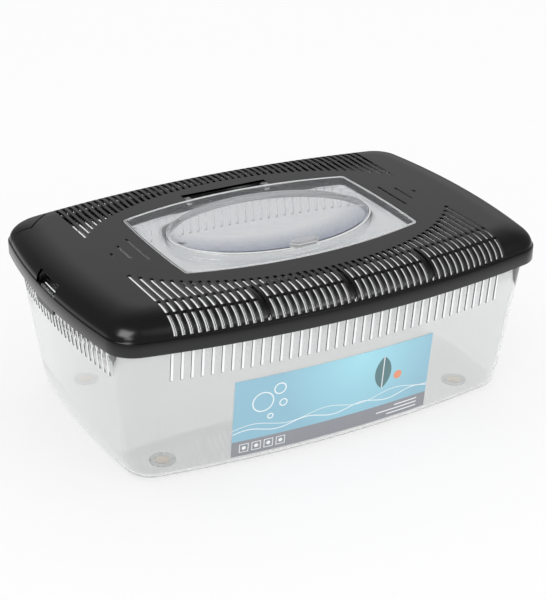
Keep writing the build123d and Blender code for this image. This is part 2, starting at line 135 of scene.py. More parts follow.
@dataclass(frozen=True)
class Stations:
    """Where a ring of points is taken on an outline, so that rings match one another.

    front and end hold places on the right half of the front and on the front half of the
    right end, from the middle outwards, as pairs of place and relief share.
    """

    front: tuple[tuple[float, float], ...]
    end: tuple[tuple[float, float], ...]
    run_steps: int = 3
    corner_steps: int = 10

    def quarter(self, outline: BowedOutline, relief: float) -> list[Vector]:
        """Points from the middle of the front to the middle of the right end.

        Args:
            outline: The outline to follow.
            relief: How far points with a full relief share stand proud.

        Returns:
            The points, without the one at the middle of the right end.
        """
        centre, touch_front, touch_end = outline.corner_arc()
        fit_front = min(1.0, (touch_front.x - 1.5 * MM) / self.front[-1][0])
        fit_end = min(1.0, (-touch_end.y - 1.5 * MM) / self.end[-1][0])
        front = [(x * fit_front, share) for x, share in self.front]
        end = [(y * fit_end, share) for y, share in self.end]
        points = []
        for x, share in front:
            place = Vector((x, -outline.front_y(x)))
            points.append(place + outline.front_normal(x) * relief * share)
        last_x = front[-1][0]
        for step in range(1, self.run_steps + 1):
            x = last_x + (touch_front.x - last_x) * step / self.run_steps
            points.append(Vector((x, -outline.front_y(x))))
        start = math.atan2(*(touch_front - centre).yx)
        stop = math.atan2(*(touch_end - centre).yx)
        for step in range(1, self.corner_steps):
            angle = start + (stop - start) * step / self.corner_steps
            offset = Vector((math.cos(angle), math.sin(angle))) * outline.corner_radius
            points.append(centre + offset)
        last_y = -end[-1][0]
        for step in range(self.run_steps):
            y = touch_end.y + (last_y - touch_end.y) * step / self.run_steps
            points.append(Vector((outline.end_x(y), y)))
        for y, share in reversed(end):
            place = Vector((outline.end_x(-y), -y))
            points.append(place + outline.end_normal(-y) * relief * share)
        return points

    def ring(self, outline: BowedOutline, z: float, relief: float = 0.0) -> np.ndarray:
        """Return the closed ring of points of an outline at height z, seen anticlockwise."""
        first = self.quarter(outline, relief)
        right_back = [Vector((p.x, -p.y)) for p in reversed(first)]
        back_left = [Vector((-p.x, -p.y)) for p in first]
        left_front = [Vector((-p.x, p.y)) for p in reversed(first)]
        ring: list[Vector] = []
        for part in (first, right_back, back_left, left_front):
            for point in part:
                if not ring or (ring[-1] - point).length > 1e-7:
                    ring.append(point)
        if (ring[-1] - ring[0]).length < 1e-7:
            ring.pop()
        return np.array([(p.x, p.y, z) for p in ring])


def spread(limit: float, count: int) -> tuple[tuple[float, float], ...]:
    """Evenly spaced plain stations from zero to limit."""
    return tuple((limit * i / (count - 1), 0.0) for i in range(count))


def rib_stations(count: int, pitch: float, width: float, flank: float, limit: float,
                 share: float = 1.0) -> tuple[tuple[float, float], ...]:
    """Stations for evenly spaced ribs on the positive half of a side.

    Args:
        count: Ribs on the whole side, an even number.
        pitch: Distance between ribs.
        width: Width of a rib at half height.
        flank: Width of each sloping flank.
        limit: Where the stations end.
        share: Relief share on the ribs.

    Returns:
        Pairs of place and relief share.
    """
    places: list[tuple[float, float]] = [(0.0, 0.0)]
    for index in range(count // 2):
        middle = (index + 0.5) * pitch
        places.append((middle - width / 2 - flank / 2, 0.0))
        places.append((middle - width / 2 + flank / 2, share))
        places.append((middle + width / 2 - flank / 2, share))
        places.append((middle + width / 2 + flank / 2, 0.0))
    places.append((limit, 0.0))
    return tuple(places)


# --------------------------------------------------------------------------------------
# Sizes of the real object
# --------------------------------------------------------------------------------------
@dataclass(frozen=True)
class Sizes:
    """Named sizes shared by the pieces, in metres."""

    lid: BowedOutline = BowedOutline(230 * MM, 161 * MM, 954 * MM, 712 * MM, 30 * MM)
    hatch: BowedOutline = BowedOutline(124.2 * MM, 87.5 * MM, 405 * MM, 1080 * MM, 5 * MM)
    tub_base: BowedOutline = BowedOutline(
        202.7 * MM, 133.7 * MM, 1050 * MM, 1000 * MM, 28 * MM
    )
    tub_rim_inset: float = 7.3 * MM
    tub_corner: float = 28 * MM
    tub_wall: float = 2.2 * MM
    tub_edge: float = 9 * MM
    floor_low: float = 1.5 * MM
    floor_thickness: float = 2.4 * MM
    rim_z: float = 148.5 * MM
    flange: float = 2.5 * MM
    flange_inset: float = 2.9 * MM
    rib_bottom: float = 106.5 * MM
    rib_height: float = 0.9 * MM
    rib_width: float = 2.5 * MM
    rib_pitch: float = 9.108 * MM
    ribs_front: int = 38
    ribs_end: int = 24
    foot_x: float = 159.5 * MM
    foot_y: float = 88 * MM
    foot_radius: float = 12 * MM
    foot_z: float = 0.4 * MM
    label_left: float = -110.5 * MM
    label_right: float = 95 * MM
    label_bottom: float = 11.5 * MM
    label_top: float = 93.5 * MM
    label_off: float = 0.03 * MM
    label_thickness: float = 0.3 * MM
    plateau_z: float = 172.3 * MM
    hatch_low: float = 164.7 * MM
    hatch_wall: float = 1.8 * MM
    lens_length: float = 209 * MM
    lens_depth: float = 139 * MM
    lens_top: float = 174 * MM
    lens_round: float = 3.5 * MM


SIZES = Sizes()


# --------------------------------------------------------------------------------------
# Materials
# --------------------------------------------------------------------------------------
def linear(colour: str) -> tuple[float, float, float, float]:
    """Turn an sRGB hex colour into the linear values a shader takes.

    Args:
        colour: Six hex digits, with or without a leading hash.

    Returns:
        Linear red, green and blue, and an alpha of one.
    """
    digits = colour.lstrip("#")
    values = []
    for start in (0, 2, 4):
        value = int(digits[start:start + 2], 16) / 255
        values.append(value / 12.92 if value <= 0.04045 else ((value + 0.055) / 1.055) ** 2.4)
    return (*values, 1.0)


class Finish(Enum):
    """The finishes found on the object, and the painted highlight, shades and light laid on it."""

    CLEAR_TUB = "clear tub"
    CLEAR_HATCH = "clear hatch"
    BLACK_LID = "black lid"
    PAD = "foot pad"
    PAINTED_HIGHLIGHT = "painted edge highlight"
    PAINTED_FLANK_SHADE = "painted rib flank shade"
    PAINTED_SEAT_SHADE = "painted seat line"
    GRIP = "finger grip"


@dataclass(frozen=True)
class Plastic:
    """One moulded plastic.

    Attributes:
        name: Material name.
        colour: sRGB hex colour.
        roughness: Surface roughness.
        transmission: Share of light let through.
        ior: Refractive index.
        grain_size: Size of the surface grain in metres, or zero for none.
        grain_depth: Height of the grain in metres.
    """

    name: str
    colour: str
    roughness: float
    transmission: float = 0.0
    ior: float = 1.49
    grain_size: float = 0.0
    grain_depth: float = 0.0

    def build(self) -> bpy.types.Material:
        """Return a new material with this finish."""
        material = bpy.data.materials.new(self.name)
        material.use_nodes = True
        tree = material.node_tree
        shader = tree.nodes["Principled BSDF"]
        shader.inputs["Base Color"].default_value = linear(self.colour)
        shader.inputs["Roughness"].default_value = self.roughness
        shader.inputs["IOR"].default_value = self.ior
        shader.inputs["Transmission Weight"].default_value = self.transmission
        if self.grain_size > 0:
            place = tree.nodes.new("ShaderNodeTexCoord")
            noise = tree.nodes.new("ShaderNodeTexNoise")
            bump = tree.nodes.new("ShaderNodeBump")
            noise.inputs["Scale"].default_value = 1 / self.grain_size
            noise.inputs["Detail"].default_value = 1.0
            bump.inputs["Distance"].default_value = self.grain_depth
            bump.inputs["Strength"].default_value = 1.0
            tree.links.new(place.outputs["Object"], noise.inputs["Vector"])
            tree.links.new(noise.outputs["Fac"], bump.inputs["Height"])
            tree.links.new(bump.outputs["Normal"], shader.inputs["Normal"])
        return material


PLASTICS = {
    # General purpose polystyrene, injection moulded in a polished mould.
    Finish.CLEAR_TUB: Plastic("clear_tub", "F6F7F7", 0.0, 0.955, 1.45),
    Finish.CLEAR_HATCH: Plastic("clear_hatch", "E4E6E8", 0.0, 0.87, 1.49),
    # The same plastic, frosted white: a painted highlight where thin moulded edges scatter the light.
    Finish.PAINTED_HIGHLIGHT: Plastic("clear_painted_highlight", "FCFDFD", 0.2, 0.15, 1.49),
    # The same plastic darkened: painted shade on steep narrow flanks, which turn the light away from the
    # eye.
    Finish.PAINTED_FLANK_SHADE: Plastic("clear_painted_flank_shade", "6A6D74", 0.2, 0.45, 1.49),
    # The same plastic painted near black: a painted dark line where the tray wall stands on the black
    # seat and shows it.
    Finish.PAINTED_SEAT_SHADE: Plastic("clear_painted_seat_shade", "1C1E20", 0.25, 0.1, 1.49),
    # The same plastic in the thick solid finger grip, made whiter and less clear than the hatch: painted
    # light for the light it fills with.
    Finish.GRIP: Plastic("clear_grip", "FDFDFE", 0.03, 0.7, 1.49),
    # Black ABS from a finely eroded mould.
    Finish.BLACK_LID: Plastic(
        "black_lid", "111111", 0.23, grain_size=0.5 * MM, grain_depth=0.005 * MM
    ),
    # Pale thermoplastic rubber.
    Finish.PAD: Plastic("foot_pad", "FFF3E4", 0.1, 0.93, 1.35),
}


@dataclass
class Graph:
    """A node tree with short ways to add nodes."""

    tree: bpy.types.NodeTree

    def math(self, operation: str, first: object, second: object = 0.0) -> bpy.types.NodeSocket:
        """Add a Math node.

        Args:
            operation: Its operation.
            first: A socket or a number.
            second: A socket or a number.

        Returns:
            Its result.
        """
        node = self.tree.nodes.new("ShaderNodeMath")
        node.operation = operation
        for socket, value in zip(node.inputs, (first, second)):
            if isinstance(value, bpy.types.NodeSocket):
                self.tree.links.new(value, socket)
            else:
                socket.default_value = value
        return node.outputs[0]

    def mix(self, share: object, low: object, high: object) -> bpy.types.NodeSocket:
        """Add a colour Mix node; share runs from low to high.

        Args:
            share: A socket or a number.
            low: A socket or a linear colour.
            high: A socket or a linear colour.

        Returns:
            The mixed colour.
        """
        node = self.tree.nodes.new("ShaderNodeMix")
        node.data_type = "RGBA"
        for socket, value in zip((node.inputs[0], node.inputs[6], node.inputs[7]),
                                 (share, low, high)):
            if isinstance(value, bpy.types.NodeSocket):
                self.tree.links.new(value, socket)
            else:
                socket.default_value = value
        return node.outputs[2]

    def below(self, value: object, limit: float, soft: float = 0.25) -> bpy.types.NodeSocket:
        """One where a value lies below a limit, falling softly to zero above it."""
        drop = self.math("SUBTRACT", limit, value)
        lifted = self.math("ADD", self.math("DIVIDE", drop, soft), 0.5)
        return self.math("MINIMUM", self.math("MAXIMUM", lifted, 0.0), 1.0)

    def both(self, first: object, second: object) -> bpy.types.NodeSocket:
        """Where two masks overlap."""
        return self.math("MULTIPLY", first, second)


@dataclass
class LabelArt:
    """The print on the label: a blue field with bubbles, a leaf and waves, and a grey band.

    All places are in millimetres from the label's lower left corner.
    """

    width: float = 205.5
    height: float = 82.0
    band: float = 16.5
    field_edge: str = "95C0D2"
    field_glow: str = "AAE2EE"
    band_colour: str = "93949A"
    white: str = "F2F5F6"
    leaf: str = "5F7F83"
    accent: str = "E89A78"
    bubbles: tuple[tuple[float, float, float], ...] = (
        (28.0, 55.0, 10.0), (44.0, 66.0, 5.5), (48.0, 50.0, 3.5), (36.0, 38.0, 2.5),
    )
    marks: tuple[float, ...] = (12.0, 24.0, 36.0, 48.0)

    def build(self) -> bpy.types.Material:
        """Return the material of the printed film."""
        material = bpy.data.materials.new("label_film")
        material.use_nodes = True
        graph = Graph(material.node_tree)
        shader = graph.tree.nodes["Principled BSDF"]
        # Glossy laminated paper.
        shader.inputs["Roughness"].default_value = 0.32
        shader.inputs["IOR"].default_value = 1.45
        flat = graph.tree.nodes.new("ShaderNodeUVMap")
        flat.uv_map = "print"
        split = graph.tree.nodes.new("ShaderNodeSeparateXYZ")
        graph.tree.links.new(flat.outputs["UV"], split.inputs[0])
        x = graph.math("MULTIPLY", split.outputs["X"], self.width)
        y = graph.math("MULTIPLY", split.outputs["Y"], self.height)
        glow = graph.below(self.distance(graph, x, y, 128.0, 78.0), 36.0, 96.0)
        colour = graph.mix(glow, linear(self.field_edge), linear(self.field_glow))
        colour = self.waves(graph, x, y, colour)
        colour = self.leaf_and_dot(graph, x, y, colour)
        for middle_x, middle_y, radius in self.bubbles:
            away = self.distance(graph, x, y, middle_x, middle_y)
            rim = graph.below(graph.math("ABSOLUTE", graph.math("SUBTRACT", away, radius)), 0.55)
            colour = graph.mix(rim, colour, linear(self.white))
        colour = self.lower_band(graph, x, y, colour)
        graph.tree.links.new(colour, shader.inputs["Base Color"])
        return material

    def distance(self, graph: Graph, x: object, y: object, to_x: float, to_y: float
                 ) -> bpy.types.NodeSocket:
        """How far each spot lies from a point."""
        across = graph.math("SUBTRACT", x, to_x)
        along = graph.math("SUBTRACT", y, to_y)
        square = graph.math("ADD", graph.both(across, across), graph.both(along, along))
        return graph.math("SQRT", square)

    def waves(self, graph: Graph, x: object, y: object, colour: object) -> bpy.types.NodeSocket:
        """Two pale waves above the band."""
        for base, height, length, width in ((25.0, 2.6, 58.0, 0.45), (29.5, 3.2, 74.0, 0.3)):
            swing = graph.math("SINE", graph.math("MULTIPLY", x, 2 * math.pi / length))
            line = graph.math("ADD", graph.math("MULTIPLY", swing, height), base)
            off = graph.math("ABSOLUTE", graph.math("SUBTRACT", y, line))
            colour = graph.mix(graph.below(off, width), colour, linear(self.white))
        return colour

    def leaf_and_dot(self, graph: Graph, x: object, y: object, colour: object
                     ) -> bpy.types.NodeSocket:
        """A pointed leaf with a light vein, and a warm dot beside it."""
        left = graph.below(self.distance(graph, x, y, 139.0, 54.0), 22.0)
        right = graph.below(self.distance(graph, x, y, 165.0, 54.0), 22.0)
        leaf = graph.both(left, right)
        colour = graph.mix(leaf, colour, linear(self.leaf))
        vein = graph.below(graph.math("ABSOLUTE", graph.math("SUBTRACT", x, 152.0)), 0.5)
        colour = graph.mix(graph.both(vein, leaf), colour, linear(self.white))
        dot = graph.below(self.distance(graph, x, y, 169.0, 47.0), 4.5)
        return graph.mix(dot, colour, linear(self.accent))

    def lower_band(self, graph: Graph, x: object, y: object, colour: object
                   ) -> bpy.types.NodeSocket:
        """The grey band with four framed dots at the left and three bars at the right."""
        colour = graph.mix(graph.below(y, self.band), colour, linear(self.band_colour))
        middle = self.band / 2
        for mark in self.marks:
            across = graph.math("ABSOLUTE", graph.math("SUBTRACT", x, mark))
            along = graph.math("ABSOLUTE", graph.math("SUBTRACT", y, middle))
            reach = graph.math("MAXIMUM", across, along)
            frame_line = graph.math("ABSOLUTE", graph.math("SUBTRACT", reach, 4.2))
            colour = graph.mix(graph.below(frame_line, 0.35), colour, linear(self.white))
            dot = graph.below(self.distance(graph, x, y, mark, middle), 2.0)
            colour = graph.mix(dot, colour, linear(self.white))
        for rise, length in ((4.2, 34.0), (8.2, 46.0), (12.2, 26.0)):
            along = graph.below(graph.math("ABSOLUTE", graph.math("SUBTRACT", y, rise)), 0.6)
            start = self.width - 10.0 - length
            across = graph.math("ABSOLUTE", graph.math("SUBTRACT", x, start + length / 2))
            bar = graph.both(along, graph.below(across, length / 2))
            colour = graph.mix(bar, colour, linear(self.white))
        return colour


@dataclass(frozen=True)
class LensPaintedShade:
    """Painted shade: a greyer crescent along the front of the lens."""

    half_length: float = 103 * MM
    half_depth: float = 68 * MM
    shift: float = 30 * MM
    clear: str = "E4E6E8"
    grey: str = "A3A9B8"

    def apply(self, material: bpy.types.Material) -> None:
        """Paint the shade into the base colour inside the lens and outside an oval set further back."""
        graph = Graph(material.node_tree)
        place = graph.tree.nodes.new("ShaderNodeTexCoord")
        split = graph.tree.nodes.new("ShaderNodeSeparateXYZ")
        graph.tree.links.new(place.outputs["Object"], split.inputs[0])
        across = graph.math("DIVIDE", split.outputs["X"], self.half_length)
        along = graph.math("DIVIDE", split.outputs["Y"], self.half_depth)
        later = graph.math("SUBTRACT", along, self.shift / self.half_depth)
        ovals = []
        for y in (along, later):
            square = graph.math("ADD", graph.both(across, across), graph.both(y, y))
            ovals.append(graph.math("SQRT", square))
        inside = graph.below(ovals[0], 1.0, 0.02)
        outside = graph.math("SUBTRACT", 1.0, graph.below(ovals[1], 1.15, 0.5))
        high = graph.math("GREATER_THAN", split.outputs["Z"], SIZES.plateau_z)
        mask = graph.both(graph.both(inside, outside), high)
        # Painted shade: grey mixed into the base colour over the crescent.
        colour = graph.mix(mask, linear(self.clear), linear(self.grey))
        shader = graph.tree.nodes["Principled BSDF"]
        graph.tree.links.new(colour, shader.inputs["Base Color"])


# --------------------------------------------------------------------------------------
# Mesh helpers
# --------------------------------------------------------------------------------------
@dataclass
class Skin:
    """A closed surface sewn from rings that all hold the same number of points."""

    points: list[tuple[float, float, float]] = field(default_factory=list)
    faces: list[tuple[int, ...]] = field(default_factory=list)
    rings: list[int] = field(default_factory=list)
    width: int = 0

    def add_ring(self, ring: np.ndarray) -> None:
        """Add a ring and sew it to the one before."""
        self.width = len(ring)
        start = len(self.points)
        self.points.extend(tuple(map(float, point)) for point in ring)
        if self.rings:
            self.sew(self.rings[-1], start)
        self.rings.append(start)

    def sew(self, low: int, high: int) -> None:
        """Join two rings, given by their first points, with four-sided faces."""
        for index in range(self.width):
            after = (index + 1) % self.width
            self.faces.append((low + index, low + after, high + after, high + index))

    def close_first(self) -> None:
        """Close the first ring with a fan around its middle."""
        self._fan(self.rings[0], flip=True)

    def close_last(self) -> None:
        """Close the last ring with a fan around its middle."""
        self._fan(self.rings[-1], flip=False)

    def _fan(self, start: int, flip: bool) -> None:
        ring = np.array(self.points[start:start + self.width])
        middle = len(self.points)
        self.points.append(tuple(map(float, ring.mean(axis=0))))
        for index in range(self.width):
            after = (index + 1) % self.width
            face = (start + index, start + after, middle)
            self.faces.append(face[::-1] if flip else face)

    def build(self, name: str, material: bpy.types.Material, sharp: float = 35.0
              ) -> bpy.types.Object:
        """Turn the skin into an object.

        Args:
            name: Name of the object and its mesh.
            material: Material of all its faces.
            sharp: Edges that turn by more degrees than this are shaded sharp.

        Returns:
            The new object, its normals outward.
        """
        mesh = bpy.data.meshes.new(name)
        mesh.from_pydata(self.points, [], self.faces)
        return finish_mesh(name, mesh, material, sharp)


def finish_mesh(name: str, mesh: bpy.types.Mesh, material: bpy.types.Material,
                sharp: float = 35.0) -> bpy.types.Object:
    """Clean a mesh, shade it and put it in an object.

    Args:
        name: Name of the object.
        mesh: Mesh to finish.
        material: Material of all its faces.
        sharp: Edges that turn by more degrees than this are shaded sharp.

    Returns:
        The new object.
    """
    shape = bmesh.new()
    shape.from_mesh(mesh)
    bmesh.ops.remove_doubles(shape, verts=shape.verts, dist=1e-6)
    bmesh.ops.recalc_face_normals(shape, faces=shape.faces)
    for face in shape.faces:
        face.smooth = True
    shape.to_mesh(mesh)
    shape.free()
    mesh.set_sharp_from_angle(angle=math.radians(sharp))
    mesh.materials.clear()
    mesh.materials.append(material)
    thing = bpy.data.objects.new(name, mesh)
    bpy.context.scene.collection.objects.link(thing)
    return thing


def prism_points(profile: Sequence[tuple[float, float]], place: Callable[[float, float, float],
                 tuple[float, float, float]], low: float, high: float
                 ) -> tuple[list[tuple[float, float, float]], list[tuple[int, ...]]]:
    """Draw a flat profile out along a third direction.

    Args:
        profile: Corner points of the profile, in order.
        place: Turns profile u, v and the drawn distance into a point.
        low: Start of the draw.
        high: End of the draw.

    Returns:
        Points and faces of the closed prism.
    """
    count = len(profile)
    points = [place(u, v, low) for u, v in profile] + [place(u, v, high) for u, v in profile]
    faces: list[tuple[int, ...]] = [tuple(range(count))[::-1], tuple(range(count, 2 * count))]
    for index in range(count):
        after = (index + 1) % count
        faces.append((index, after, count + after, count + index))
    return points, faces


def round_profile(radius: float, steps: int, start: float, stop: float
                  ) -> list[tuple[float, float]]:
    """Points of an arc about zero, angles in degrees."""
    return [
        (
            radius * math.cos(math.radians(start + (stop - start) * i / steps)),
            radius * math.sin(math.radians(start + (stop - start) * i / steps)),
        )
        for i in range(steps + 1)
    ]


# --------------------------------------------------------------------------------------
# Tub
# --------------------------------------------------------------------------------------
@dataclass
class Tub:
    """The clear tub: drafted bowed walls, grip ribs, rim flange and rounded floor."""

    material: bpy.types.Material
    pad_material: bpy.types.Material
    highlight_material: bpy.types.Material
    shade_material: bpy.types.Material
    sizes: Sizes = SIZES
    flank: float = 0.35 * MM
    rib_foot: float = 1.0 * MM

    def stations(self) -> Stations:
        """Stations that fall on the flanks of every grip rib."""
        s = self.sizes
        return Stations(
            rib_stations(s.ribs_front, s.rib_pitch, s.rib_width, self.flank, 174.5 * MM),
            rib_stations(s.ribs_end, s.rib_pitch, s.rib_width, self.flank, 110.5 * MM),
        )

    def outline(self, z: float, grow: float = 0.0) -> BowedOutline:
        """The outside of the wall at height z, moved out by grow."""
        s = self.sizes
        rim = s.lid.inset(s.tub_rim_inset, s.tub_corner)
        share = (z - s.floor_low) / (s.rim_z - s.floor_low)
        return s.tub_base.blend(rim, share).inset(-grow, s.tub_corner + grow)

    def wall(self, x: float, z: float, off: float = 0.0) -> Vector:
        """A point on the front wall at x and z, standing off it."""
        outline = self.outline(z)
        out = outline.front_normal(x)
        return Vector((x, -outline.front_y(x), z)) + Vector((out.x, out.y, 0.0)) * off

    def floor_edge(self, radius: float, floor_z: float, grow: float, steps: int = 9
                   ) -> list[tuple[BowedOutline, float]]:
        """Outlines up the round between floor and wall."""
        rows = []
        for step in range(steps + 1):
            angle = math.pi / 2 * step / steps
            distance = radius * (1 - math.sin(angle))
            z = floor_z + radius * (1 - math.cos(angle))
            rows.append((self.outline(z, grow - distance), z))
        return rows

    def build_shell(self) -> bpy.types.Object:
        """Sew the tub from rings, from the floor's underside round to its top."""
        s = self.sizes
        stations = self.stations()
        skin = Skin()
        flange_low = s.rim_z - s.flange
        underside = self.outline(s.floor_low, -s.tub_edge - 1.5 * MM)
        skin.add_ring(stations.ring(underside, s.floor_low))
        for outline, z in self.floor_edge(s.tub_edge, s.floor_low, 0.0):
            skin.add_ring(stations.ring(outline, z))
        for z in (30 * MM, 60 * MM, 85 * MM, s.rib_bottom):
            skin.add_ring(stations.ring(self.outline(z), z))
        for share in (0.6, 1.0):
            z = s.rib_bottom + self.rib_foot * share
            skin.add_ring(stations.ring(self.outline(z), z, s.rib_height * share))
        for z in (125 * MM, flange_low):
            skin.add_ring(stations.ring(self.outline(z), z, s.rib_height))
        flange = s.lid.inset(s.flange_inset)
        for drop, z in ((0.4, flange_low), (0.0, flange_low + 0.4 * MM),
                        (0.0, s.rim_z - 0.4 * MM), (0.4, s.rim_z)):
            skin.add_ring(stations.ring(flange.inset(drop * MM, flange.corner_radius), z))
        skin.add_ring(stations.ring(self.outline(s.rim_z, 0.3 * MM - s.tub_wall), s.rim_z))
        top = s.rim_z - 0.4 * MM
        skin.add_ring(stations.ring(self.outline(top, -s.tub_wall), top))
        for z in (110 * MM, 70 * MM, 35 * MM):
            skin.add_ring(stations.ring(self.outline(z, -s.tub_wall), z))
        inside = self.floor_edge(
            s.tub_edge - s.tub_wall, s.floor_low + s.floor_thickness, -s.tub_wall
        )
        for outline, z in reversed(inside):
            skin.add_ring(stations.ring(outline, z))
        floor_z = s.floor_low + s.floor_thickness
        skin.add_ring(stations.ring(self.outline(floor_z, -s.tub_edge - 1.5 * MM), floor_z))
        skin.close_first()
        skin.close_last()
        shell = skin.build("tub_shell", self.material, sharp=38.0)
        self.mark_ribs(shell)
        return shell

    def mark_ribs(self, shell: bpy.types.Object) -> None:
        """Paint highlights on the near rib crests, and painted shade on flanks and feet."""
        s = self.sizes
        shell.data.materials.append(self.highlight_material)
        shell.data.materials.append(self.shade_material)
        for face in shell.data.polygons:
            x, y, z = face.center
            if not s.rib_bottom < z < s.rim_z - s.flange:
                continue
            outline = self.outline(z)
            foot = z < s.rib_bottom + self.rib_foot
            front = abs(x) < 175 * MM
            if front:
                share, near = (abs(y) - outline.front_y(x)) / s.rib_height, y < 0
            elif abs(y) < 111 * MM:
                share, near = (abs(x) - outline.end_x(y)) / s.rib_height, x < 0
            else:
                continue
            # Painted highlight on the crests of the near front and left end ribs; painted shade on the
            # near front ribs' flanks and on every rib's foot.
            if share > 0.8 and near and not foot:
                face.material_index = 1
            elif share > 0.2 and (foot or near and front):
                face.material_index = 2

    def build_foot(self, x: float, y: float, name: str) -> bpy.types.Object:
        """A round foot under the floor, moulded with a ring of fine petals.

        Args:
            x: Middle of the foot.
            y: Middle of the foot.
            name: Name of the object.

        Returns:
            The foot.
        """
        s = self.sizes
        skin = Skin()
        count = 72
        angles = np.arange(count) * (2 * math.pi / count)
        petals = np.cos(angles * 12)

        def ring(radius: float, z: float, wave: float = 0.0) -> np.ndarray:
            reach = radius + wave * petals
            return np.stack(
                [x + reach * np.cos(angles), y + reach * np.sin(angles), np.full(count, z)],
                axis=1,
            )

        top = s.floor_low - 0.02 * MM
        low = s.foot_z
        rows = (
            (7.1, low + 1.05 * MM, 0.0), (7.1, low, 0.0), (8.6, low, 0.25), (9.1, low + 0.5 * MM, 0.4),
            (9.8, low + 0.5 * MM, 0.4), (10.3, low, 0.25), (11.6, low, 0.0), (12.0, low + 0.3 * MM, 0.0),
            (12.0, top, 0.0), (7.1, top, 0.0),
        )
        for radius, z, wave in rows:
            skin.add_ring(ring(radius * MM, min(z, top), wave * MM))
        skin.sew(skin.rings[-1], skin.rings[0])
        return skin.build(name, self.material)

    def build_pad(self, x: float, y: float, name: str) -> bpy.types.Object:
        """The anti-slip pad in a foot, with a dished and ribbed top."""
        skin = Skin()
        count = 72
        angles = np.arange(count) * (2 * math.pi / count)
        wave = np.cos(angles * 12)

        def ring(radius: float, z: float, lift: float = 0.0) -> np.ndarray:
            return np.stack(
                [x + radius * np.cos(angles), y + radius * np.sin(angles), z + lift * wave],
                axis=1,
            )

        rows = (
            (0.5, 0.1, 0.0), (6.4, 0.0, 0.0), (6.8, 0.05, 0.0), (7.0, 0.3, 0.0), (7.0, 1.25, 0.0),
            (6.7, 1.42, 0.0), (5.6, 1.42, 0.03), (5.0, 1.1, 0.08), (3.4, 1.1, 0.08), (2.8, 1.42, 0.03),
            (0.8, 1.42, 0.0),
        )
        for radius, z, lift in rows:
            skin.add_ring(ring(radius * MM, z * MM, lift * MM))
        skin.close_first()
        skin.close_last()
        return skin.build(name, self.pad_material)

    def build(self) -> list[bpy.types.Object]:
        """Build the tub, its feet and its pads, and put them on the tub body."""
        s = self.sizes
        shell = self.build_shell()
        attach(shell, "tub")
        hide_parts("tub")
        made = [shell]
        for across, x in (("left", -s.foot_x), ("right", s.foot_x)):
            for along, y in (("front", -s.foot_y), ("back", s.foot_y)):
                foot = self.build_foot(x, y, f"foot_{along}_{across}")
                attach(foot, "tub")
                pad = self.build_pad(x, y, f"pad_{along}_{across}")
                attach(pad, "tub")
                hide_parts(f"foot_pad_{along}_{across}")
                made += [foot, pad]
        return made


# --------------------------------------------------------------------------------------
# Label
# --------------------------------------------------------------------------------------
@dataclass
class Label:
    """The printed film on the front wall."""

    tub: Tub
    material: bpy.types.Material
    columns: int = 48
    rows: int = 18

    def build(self) -> bpy.types.Object:
        """Lay the film on the wall, with its own flat coordinates for the print."""
        s = self.tub.sizes
        mesh = bpy.data.meshes.new("label_film")
        points: list[Vector] = []
        flat: list[tuple[float, float]] = []
        for off in (s.label_off, s.label_off + s.label_thickness):
            for row in range(self.rows + 1):
                for column in range(self.columns + 1):
                    u, v = column / self.columns, row / self.rows
                    x = s.label_left + (s.label_right - s.label_left) * u
                    z = s.label_bottom + (s.label_top - s.label_bottom) * v
                    points.append(self.tub.wall(x, z, off))
                    flat.append((u, v))
        wide = self.columns + 1
        layer = wide * (self.rows + 1)
        faces: list[tuple[int, ...]] = []
        for row in range(self.rows):
            for column in range(self.columns):
                a = row * wide + column
                faces.append((a, a + wide, a + wide + 1, a + 1))
                b = a + layer
                faces.append((b, b + 1, b + wide + 1, b + wide))
        rim = [column for column in range(wide)]
        rim += [row * wide + self.columns for row in range(1, self.rows + 1)]
        rim += [self.rows * wide + column for column in reversed(range(self.columns))]
        rim += [row * wide for row in reversed(range(1, self.rows))]
        for start, stop in zip(rim, rim[1:] + rim[:1]):
            faces.append((start, stop, stop + layer, start + layer))
        mesh.from_pydata(points, [], faces)
        spots = mesh.uv_layers.new(name="print")
        for loop in mesh.loops:
            spots.data[loop.index].uv = flat[loop.vertex_index]
        film = finish_mesh("label_print", mesh, self.material)
        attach(film, "tub")
        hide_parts("label")
        return film


